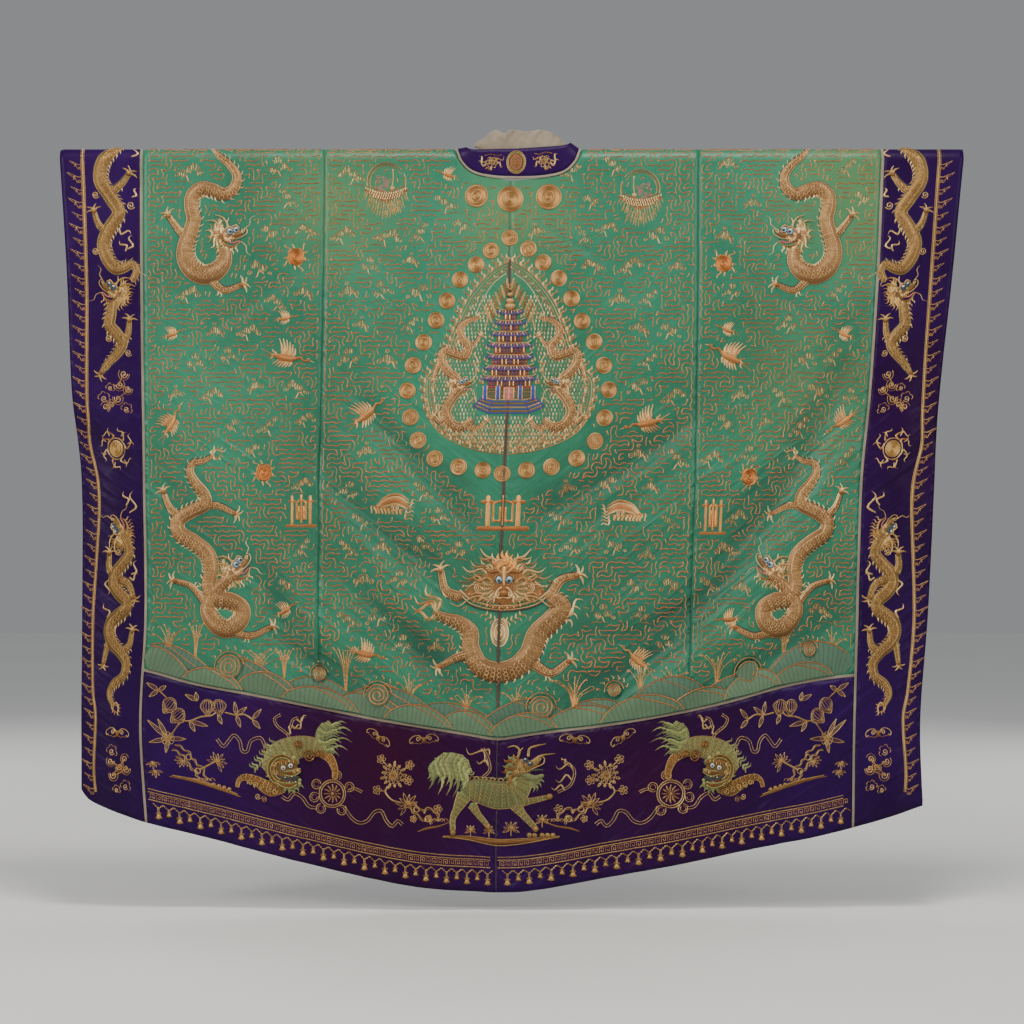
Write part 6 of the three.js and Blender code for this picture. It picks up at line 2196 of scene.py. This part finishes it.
def lion(pen):
    """The lion at the left: it lies along its own back and looks down at its ball."""
    combed(pen, [-336 + 1058j, -348 + 1062j, -356 + 1072j, -359 + 1084j, -354 + 1096j, -344 + 1104j,
                 -332 + 1108j],
           [-296 + 1060j, -284 + 1077j, -292 + 1085j, -281 + 1097j, -292 + 1112j, -310 + 1124j,
            -322 + 1122j], 4, 5.0)
    hide(pen, [-446 + 1152j, -430 + 1122j, -400 + 1107j, -368 + 1104j, -342 + 1114j],
         (40, 52, 44, 36, 24), mane_green)
    hide(pen, [-350 + 1112j, -330 + 1128j, -321 + 1150j, -322 + 1164j], (22, 16, 12, 10), tawny, 5)
    hide(pen, [-420 + 1184j, -448 + 1184j, -478 + 1168j, -498 + 1162j, -510 + 1168j, -514 + 1180j],
         (12, 28, 18, 12, 9, 7), tawny, 5)
    for count in range(9):
        root = -446 + 1100j + count * (-5 + 6j)
        flame(pen, root + 8 + 5j, root - 3 - (15 - count % 2 * 4) * 1j, 0.2, 4.4,
              (mane_green, light_green)[count % 2])
    for count in range(5):
        curl(pen, -440 - 12 * count + (1188 - 4 * count) * 1j, 6, 40 * count, 1.3, 2.2, pale_gold,
             lift=3.0)
    for spot, radius in ((-372 + 1122j, 12), (-352 + 1118j, 7), (-392 + 1100j, 7)):
        curl(pen, spot, radius, 200, 2.0, 2.4, tawny, lift=4.4)
        curl(pen, spot, radius * 0.8, 20, 1.6, 2.0, pale_gold, lift=4.4)
    # The face: rings of gold and orange behind two pale eyes, a ruffled snout and jaw, and teeth.
    face = -424 + 1148j
    for bearing in range(110, 300, 17):
        root, tip = (arc(face, reach, bearing, bearing, 1)[0] for reach in (20, 36))
        flame(pen, root, tip, 0.25, 6.0, (mane_green, tawny, light_green)[bearing % 3], lift=1.0)
    for count, bearing in enumerate(range(-100, -10, 18)):
        blob(pen, arc(face, 31, bearing, bearing, 1)[0], 6.0, (mane_green, light_green)[count % 2],
             lift=0.6)
    blob(pen, face, 30, face_gold, tall=0.98, high=0.03, lift=3.0)
    for ring, dyed in enumerate((pale_gold, tawny, light_green, tawny, pale_gold)):
        pen.thread(arc(face + 0.3 * ring, 29 - 2.8 * ring, 80 + 6 * ring, 318 - 4 * ring, 14), 2.1, dyed,
                   lift=4.6 + 0.25 * ring)
    for spot, radius in ((-439 + 1138j, 5.5), (-438 + 1153j, 6), (-397 + 1133j, 4), (-424 + 1131j, 4)):
        curl(pen, spot, radius, 160, 1.6, 2.0, (pale_gold, tawny)[radius < 5.2], lift=6.4)
    pen.thread([-432 + 1159j, -420 + 1165j, -404 + 1165j, -392 + 1160j], [3, 8, 9, 4], ink, high=0.05,
               lift=5.2)
    for points, wide, dyed in (([-420 + 1153j, -408 + 1154j, -396 + 1151j, -389 + 1148j], [6, 10, 10, 6],
                                tawny),
                               ([-438 + 1168j, -424 + 1175j, -408 + 1177j, -396 + 1172j], [4, 8, 9, 6],
                                tawny)):
        pen.thread(points, wide, dyed, high=0.09, lift=5.4)
        for hand in (-1, 1):
            pen.thread(np.array(points) + hand * 1j * np.array(wide) * 0.5, 1.8, light_green, lift=6.0)
    curl(pen, -393 + 1148j, 3.2, 90, 1.4, 1.8, pale_gold, lift=6.6)
    curl(pen, -402 + 1151j, 3.6, 90, -1.4, 1.8, pale_gold, lift=6.8)
    pen.thread([-424 + 1167j, -414 + 1169j, -405 + 1168j], [1.6, 2.2, 1.6], rose_gold, lift=5.6)
    for tooth in range(4):
        blob(pen, -418 + 6.4 * tooth + (1161 - 0.6 * tooth) * 1j, 1.2, (white_silk, pale_gold)[tooth % 2],
             lift=6.4)
        blob(pen, -416 + 5.8 * tooth + (1170.4 - 0.3 * tooth) * 1j, 1.2,
             (pale_gold, white_silk)[tooth % 2], lift=6.4)
    for spot in (-392 + 1173j, -391 + 1167j, -400 + 1182j):
        blob(pen, spot, 4.0, (mane_green, light_green)[int(spot.imag) % 2], lift=3.0)
    for spot, look in ((-422 + 1143j, 0.4), (-408 + 1139j, 0.6)):
        eye(pen, spot, 3.9, look + 0.8j, white_silk, 6.4)
        for lash in range(4):
            pen.thread([spot - 6 + 4 * lash - 5j, spot - 7 + 4 * lash - 10j], 1.6,
                       (tawny, pale_gold)[lash % 2], lift=6.8)
    for tip in (-392 + 1190j, -402 + 1196j, -382 + 1182j, -414 + 1194j, -426 + 1190j):
        flame(pen, mix(tip, -408 + 1170j, 0.8), tip, 0.2, 6.0,
              (mane_green, light_green)[int(tip.imag) % 2], lift=1.4)
    ribbon(pen, [-550 + 1090j, -538 + 1104j, -528 + 1094j, -517 + 1083j, -506 + 1094j, -502 + 1112j,
                 -492 + 1113j, -484 + 1094j, -466 + 1088j, -457 + 1104j, -456 + 1124j])
    forked_flame(pen, [-404 + 1094j, -416 + 1078j, -432 + 1066j, -438 + 1052j, -426 + 1044j],
                 [(-418 + 1080j, -402 + 1062j), (-404 + 1066j, -372 + 1048j),
                  (-404 + 1064j, -386 + 1066j)])
    forked_flame(pen, [-408 + 1070j, -402 + 1054j, -392 + 1050j], [(-396 + 1052j, -372 + 1047j)])
    ball = -327 + 1193j
    for radius in (26, 22):
        pen.thread(arc(ball, radius, 0, 345, 22), 2.4, pale_gold, closed=True)
    for petal in range(12):
        tip = arc(ball, 17, 30 * petal, 0, 1)[0]
        pen.thread([mix(ball, tip, 0.25), mix(ball, tip, 0.65) + 1.5, tip], [1.4, 3.4, 2.4], gold)
    blob(pen, ball, 3.5, pale_gold)
    for bearing in (-75, -150, -20, 60, 130, 170):
        loop = arc(ball, 36, bearing, bearing, 1)[0]
        pen.thread(arc(loop, 9, bearing + 180, bearing + 500, 10), 2.0, pale_gold)
        pen.thread(arc(loop, 5.5, bearing + 180, bearing + 500, 8), 1.6, gold)
    ribbon(pen, [-358 + 1220j, -374 + 1216j, -386 + 1200j, -402 + 1192j, -414 + 1204j, -426 + 1198j])
    ribbon(pen, [-296 + 1188j, -282 + 1184j, -268 + 1190j], 4)
    ribbon(pen, [-304 + 1218j, -290 + 1238j, -274 + 1248j, -258 + 1244j, -244 + 1228j, -230 + 1226j,
                 -220 + 1244j, -208 + 1254j, -198 + 1244j, -188 + 1251j])


def peach_tree(pen):
    """A branch with four peaches over a rock, with pine tufts and a bank of earth below."""
    for root, tips in ((-664 + 998j, (-688 + 984j, -650 + 990j, -682 + 1010j)),
                       (-603 + 1056j, (-567 + 1066j, -592 + 1076j)),
                       (-588 + 1018j, (-612 + 1006j, -592 + 1002j)),
                       (-512 + 1045j, (-516 + 1020j, -492 + 1030j, -504 + 1068j)),
                       (-481 + 1053j, (-464 + 1034j, -466 + 1070j)),
                       (-645 + 1089j, (-684 + 1054j, -664 + 1052j, -682 + 1096j, -610 + 1090j,
                                       -650 + 1116j)),
                       (-548 + 1044j, (-540 + 1062j,))):
        for tip in tips:
            leaf(pen, root, tip, 7)
    pen.thread([-664 + 998j, -648 + 1012j], 3.0, gold)
    pen.thread([-618 + 1054j, -603 + 1056j, -580 + 1048j, -561 + 1046j, -552 + 1040j], 3.4, pale_gold)
    pen.thread([-534 + 1040j, -512 + 1045j, -496 + 1044j, -481 + 1053j], 3.4, pale_gold)
    pen.thread([-622 + 1060j, -634 + 1076j, -640 + 1086j], 3.0, gold)
    for spot, radius, turn in ((-641 + 1026j, 15, 40), (-624 + 1046j, 15, 50), (-568 + 1028j, 14, 0),
                               (-546 + 1028j, 14, -10)):
        fruit = pen.at(spot, radius / 15, turn)
        for reach in (15, 12.2):
            fruit.thread([-reach * 0.6 + reach * 0.7j, -reach, -reach * 0.5 - reach * 0.8j,
                          reach * 0.3 - reach * 0.8j,
                          reach, reach * 0.5 + reach * 0.8j, 0 + reach * 1.25j], 1.9,
                         (pale_gold, gold)[reach < 15], closed=True)
        for sway in (-8, -3, 3, 8):
            fruit.thread([0 + 13j, sway + 3j, sway * 0.8 - 9j], 1.7, (gold, pale_gold)[sway > 0])
    blossom(pen, -645 + 1089j, 13, 8)
    rock(pen, [-634 + 1104j, -612 + 1118j, -600 + 1136j, -586 + 1150j, -582 + 1170j],
         [-606 + 1124j, -590 + 1150j])
    burst(pen, -552 + 1134j, 20, 9, -50, 230)
    burst(pen, -618 + 1128j, 17, 6, 130, 150)
    pen.thread([-586 + 1148j, -570 + 1140j, -554 + 1132j], 4, pale_gold)
    pen.thread([-646 + 1160j, -616 + 1165j, -586 + 1171j, -548 + 1184j, -508 + 1199j], [2, 4, 8, 6, 2],
               gold, high=0.2)
    pen.thread([-640 + 1158j, -586 + 1168j, -548 + 1181j, -514 + 1194j], 2.0, pale_gold, lift=0.8)
    burst(pen, -676 + 1132j, 15, 5, 90, 130)
    burst(pen, -672 + 1148j, 15, 5, 90, 140)
    for across in range(4):
        blob(pen, -560 + 10 * across + (1176 + 3 * across) * 1j, 4.4, pale_gold, high=0.3)
    curl(pen, -474 + 1198j, 6, 30, 1.4, 2.2, pale_gold)
    curl(pen, -462 + 1204j, 6, 200, 1.4, 2.2, gold)


def flower_rock(pen):
    """The pierced rock beside the unicorn, with a spray of flowers and a stem of grass."""
    blossom(pen, -206 + 1158j, 17, 10)
    for ray in range(13):
        root, tip = (arc(-206 + 1158j, reach, 27.7 * ray, 0, 1)[0] for reach in (17, 27 - 4 * (ray % 2)))
        leaf(pen, root, tip, 4)
    for spot, stem in ((-230 + 1128j, -216 + 1142j), (-174 + 1139j, -186 + 1148j),
                       (-176 + 1168j, -186 + 1164j), (-238 + 1186j, -224 + 1188j)):
        blossom(pen, spot, 9, 5)
        pen.thread([spot, stem], 2.4, pale_gold)
    pen.thread([-218 + 1180j, -222 + 1190j, -210 + 1204j, -192 + 1210j], 3.6, pale_gold)
    burst(pen, -178 + 1214j, 24, 9, -110, 250)
    rock(pen, [-176 + 1212j, -162 + 1222j, -146 + 1234j, -132 + 1228j, -122 + 1246j],
         [-160 + 1222j, -138 + 1240j])
    blossom(pen, -118 + 1222j, 9, 5)
    blossom(pen, -166 + 1240j, 7, 5)
    pen.thread([-158 + 1264j, -140 + 1258j, -116 + 1254j, -94 + 1246j], [2, 5, 4, 2], gold, high=0.2)


for half in both_sides(hem_pen):
    lion(half)
    peach_tree(half)
for half in both_sides(hem_pen):
    flower_rock(half)
    bat(half.at(-236 + 1088j, 0.72, 34))
    bat(half.at(-146 + 1092j, 0.78, -5))
hem_pieces = embroidered("hem_border", hem_pen, face=border_face, keeps_clear=False, aged=old_gold)

# ---- The foot of the hem border: a thin line, a band of running fret between two lines, a net of
# beads, and bell tassels, large and small by turns. The front has the same band and net.
edging_pen = Pen()
fret_pitch, tassel_pitch = 11.6, 20.4


def above_hem(across, up, facing=-1):
    """A place up above the hem, on the back, or on the front for facing 1."""
    across = np.asarray(across, float)
    fall = read(hem_line, "across", across, "hem") - up
    return across + 1j * (fall if facing < 0 else -math.pi * fold_radius - fall)


for facing in (-1, 1):
    gap = 3 if facing < 0 else 74
    for first, last in ((-690, -gap + shoulder[3]), (gap + shoulder[3], 690)):
        run = np.arange(first, last, 13.0)
        for up, wide in ((66, 2.2), (60.5, 2.4), (46, 2.4)):
            edging_pen.thread(above_hem(run, up, facing), wide, pale_gold, step=12.0)
        for count, across in enumerate(np.arange(first + 4, last - 10, fret_pitch)):
            hook = np.array([0, 0, 7.6, 7.6, 3.6, 3.6])
            rise = np.array([49, 57.5, 57.5, 50.5, 50.5, 54])
            edging_pen.thread(above_hem(across + hook, rise, facing), 1.7, (gold, dull_gold)[count % 2],
                              smooth=False)
        for count, across in enumerate(np.arange(first + 8, last - 6, tassel_pitch / 2)):
            low = 33 if count % 2 else 41
            beads = across + np.linspace(0, tassel_pitch / 2, 7)
            edging_pen.thread(above_hem(beads, mix(low, 74 - low, np.linspace(0, 1, 7)), facing),
                              [1.0, 3.8, 1.0, 3.8, 1.0, 3.8, 1.0], (gold, pale_gold)[count % 2],
                              smooth=False)
            if facing > 0 or count % 2 == 0:
                continue
            large = count % 4 == 1
            tassel = edging_pen.at(complex(above_hem(across, 33)), 1.0 if large else 0.8)
            for bead in range(4 if large else 2):
                tassel.thread(arc(2.6j * bead, 1.7, 0, 300, 5), 1.3, pale_gold, closed=True)
            crown = 9j if large else 4j
            for spread in (-1, 0, 1):
                blob(tassel, crown + 3.6 * spread + 0.8j * abs(spread), 2.6,
                     (gold, pale_gold)[spread == 0], high=0.4)
                blob(tassel, crown + 4.6 * spread + 9.4j - 0.6j * abs(spread), 2.5,
                     (gold, dull_gold)[spread == 0], high=0.4)
            tassel.thread([crown + 2j, crown + 5j, crown + 8.6j], [6.0, 8.4, 11.0], gold, high=0.2,
                          smooth=False)
edging_pieces = embroidered("hem_edging", edging_pen, face=border_face, keeps_clear=False, aged=old_gold)

# ---- The embroidery of the neckband: an oval roundel of green, rose and gold rings at the nape,
# between two ribboned scrolls, couched on the stiff band before it is sewn round the neck.
neck_pen = Pen()


def on_neckband(across, fall, out):
    """Lays threads on the back of the neckband: fall 0 is its middle line."""
    hand = np.where(across < 0, -1.0, 1.0)

    def point(across, fall):
        station = np.interp(abs(across), (0, 45.5, 82, 98), (0, 1, 2, 3))
        return neck_point(hand, station, 0.5 - fall / 50)

    along = (point(across * 1.001 + 0.5 * hand, fall) - point(across, fall)) * hand[:, None]
    up = point(across, fall - 1) - point(across, fall)
    outward = np.cross(along, up)
    outward /= np.linalg.norm(outward, axis=1)[:, None]
    return point(across, fall) + outward * np.reshape(out, (-1, 1))


blob(neck_pen, -4 + 0j, 17, tawny, tall=1.2, high=0.05)
for ring, dyed in enumerate((pale_gold, mane_green, tawny, rose_silk, beast_green, gold, pale_gold)):
    oval = arc(0j, 17 - 2.4 * ring, 30 * ring, 30 * ring + 340, 14)
    neck_pen.thread(-4 + oval.real + 1.2j * oval.imag, 2.3, dyed, closed=True, lift=0.6)
for side in (False, True):
    scroll = neck_pen.at(0, mirror=side)
    curl(scroll, 48 - 1j, 8, 180, 1.6, 2.4, pale_gold)
    blossom(scroll, 49 + 1j, 11, 6)
    for root, tip in ((40 + 2j, 26 - 10j), (40 + 4j, 27 + 8j), (58 + 0j, 74 - 10j), (58 + 4j, 76 + 3j),
                      (50 + 10j, 60 + 16j)):
        flame(scroll, root, tip, 0.35, 3.6, (gold, pale_gold)[root.real > 50])
    scroll.thread([30 - 14j, 40 - 12j, 50 - 15j, 62 - 12j], 2.0, gold)
neck_pieces = embroidered("neckband", neck_pen, onto=on_neckband, face=neckband_wall / 2 + 0.6,
                          keeps_clear=False, aged=old_gold)

# ---- The ground: one gold thread wanders over all the green between the motifs, never crossing
# itself. It follows the outline of a branching maze, so its lines keep an even distance.
ground_step = 8.2 + 8.5j
ground_wide = 2.1
# The ground thread is painted lighter where it runs upright, a glint, and duller where it runs level.
ground_gold = dye((160, 88, 48), (186, 132, 80))
wave = 1.2


def is_clear(spot):
    """True where the ground thread has room: on the green, off the motifs and clear of the seams."""
    across, fall = spot.real, spot.imag
    foot = read(hem_line, "across", across, "piping") - 10
    clear = (abs(across) < 690) & (fall > -34) & (fall < foot)
    clear &= np.minimum.reduce([abs(across - place) for place in shoulder[1:6]]) > 5
    neck = abs(across - neck_middle) / 128
    clear &= (neck > 1) | (fall > 47 * np.sqrt(np.maximum(1 - neck**3, 0)) + 3)
    return clear & ~mask[mask_places(spot)]


def maze(first, last, step):
    """Chains of points that follow the outline of a random maze over the cloth between two corners."""
    nodes_x = round((last.real - first.real) / (2 * step.real))
    nodes_y = int((last.imag - first.imag) / (2 * step.imag))
    fine_x, fine_y = np.meshgrid(np.arange(2 * nodes_x), np.arange(2 * nodes_y), indexing="ij")
    spots = first + fine_x * step.real + 1j * fine_y * step.imag
    spots = spots + wave * (np.where(fine_y % 2, 1, -1) + 1j * np.where(fine_x % 2, 1, -1))
    spots = spots + shuffle.uniform(-1.2, 1.2, spots.shape) + 1j * shuffle.uniform(-1.2, 1.2, spots.shape)
    clear = is_clear(spots)
    free = clear.reshape(nodes_x, 2, nodes_y, 2).any(axis=(1, 3))
    # The maze is dug by a walker that would rather go across than up or down.
    dug = ~free
    opened = set()
    for start in zip(*np.nonzero(free)):
        if dug[start]:
            continue
        dug[start] = True
        walk = [(*start, 0)]
        while walk:
            x, y, level = walk[-1]
            ways = [(x + dx, y + dy, abs(dx)) for dx, dy in ((1, 0), (-1, 0), (0, 1), (0, -1))
                    if 0 <= x + dx < nodes_x and 0 <= y + dy < nodes_y and not dug[x + dx, y + dy]]
            if not ways:
                walk.pop()
                continue
            across = [way for way in ways if way[2]]
            turns = [way for way in ways if way[2] != level]
            chosen = across if across and shuffle.random() < 0.6 else turns or ways
            ahead = chosen[shuffle.integers(len(chosen))]
            dug[ahead[:2]] = True
            opened.add((min(x, ahead[0]), min(y, ahead[1]), ahead[2], 1 - ahead[2]))
            walk.append(ahead)
    links = {}

    def link(a, b):
        if clear[a] and clear[b] and shuffle.random() > 0.02:
            links.setdefault(a, []).append(b)
            links.setdefault(b, []).append(a)

    for x in range(nodes_x):
        for y in range(nodes_y):
            if not free[x, y]:
                continue
            a, b, c, d = (2 * x, 2 * y), (2 * x + 1, 2 * y), (2 * x + 1, 2 * y + 1), (2 * x, 2 * y + 1)
            if (x, y, 1, 0) in opened:
                link(b, (b[0] + 1, b[1]))
                link(c, (c[0] + 1, c[1]))
            else:
                link(b, c)
            if (x - 1, y, 1, 0) not in opened:
                link(a, d)
            if (x, y, 0, 1) in opened:
                link(d, (d[0], d[1] + 1))
                link(c, (c[0], c[1] + 1))
            else:
                link(d, c)
            if (x, y - 1, 0, 1) not in opened:
                link(a, b)
    chains = []
    starts = [node for node in links if len(links[node]) == 1] + list(links)
    for start in starts:
        chain = [start]
        while links.get(chain[-1]):
            ahead = links[chain[-1]].pop()
            links[ahead].remove(chain[-1])
            chain.append(ahead)
        if len(chain) > 1:
            chains.append(np.array([spots[node] for node in chain]))
    return chains


ground_pieces = {}
for cut, first, last in zip(lengths, shoulder[1:5], shoulder[2:6]):
    pen = Pen()
    for chain in maze(first + 7 - 32j, last + 2 + 1082j, ground_step):
        pen.thread(chain, ground_wide, ground_gold, step=4.8)
    ground_pieces[cut["name"]] = embroidered(f"ground_{cut['name']}", pen, keeps_clear=False)

# ---- What each cloth was cut to: the sizes that show, without the turnings inside the seams. All of
# it hangs from the pole, and the borders from the satin lengths that they are sewn to.
gold_of = {name: [] for name in satin_pieces}
for name in satin_pieces:
    gold_of[name] += ground_pieces[name]
gold_of["centre_left"] += pagoda_pieces + seam_pieces + frontal_pieces + disc_pieces + sign_pieces
gold_of["side_left"] += dragon_pieces + sky_pieces + crane_pieces + sea_pieces + cloud_pieces
for cut in lengths:
    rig.sheet(satin_pieces[cut["name"]], held="hung", rests_on=[pole], with_pieces=gold_of[cut["name"]],
             **cut_size(cut, -2, 2))
for cut in sides:
    others = side_pieces + fringe_pieces if cut["hand"] == "left" else []
    others = others + [piping_pieces[f"side_{cut['hand']}"]]
    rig.sheet(border_pieces[f"side_{cut['hand']}"], held="hung", rests_on=[pole], with_pieces=others,
             **cut_size(cut, -4, 4))
for cut in halves:
    for layer, first, last in (("back", -4, -3), ("front", 3, 4)):
        name = f"hem_{layer}_{cut['hand']}"
        others = (hem_pieces + edging_pieces if name == "hem_back_left" else []) + [piping_pieces[name]]
        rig.sheet(border_pieces[name], held="hung", rests_on=[satin_pieces[f"centre_{cut['hand']}"]],
                 with_pieces=others, **cut_size(cut, first, last))
for name, flat, area in (("back", (0.055, 0.28), 0.0128), ("front_left", (0.052, 1.43), 0.071),
                         ("front_right", (0.052, 1.43), 0.071)):
    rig.sheet(neckband_pieces[name], flat=flat, area=area, held="hung",
             rests_on=[satin_pieces["centre_left"]],
             with_pieces=[piping_pieces[f"neck_{name}"]] + (neck_pieces if name == "back" else []))
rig.sheet(guard_piece, flat=(0.19, 0.043), area=0.0066, held="hung", rests_on=[neckband_pieces["back"]])

visual_box = [[float(value) for value in corner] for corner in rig.bounds()]
with open("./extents.json", "w") as size_file:
    json.dump({"cad": cad_box, "visual": visual_box}, size_file)
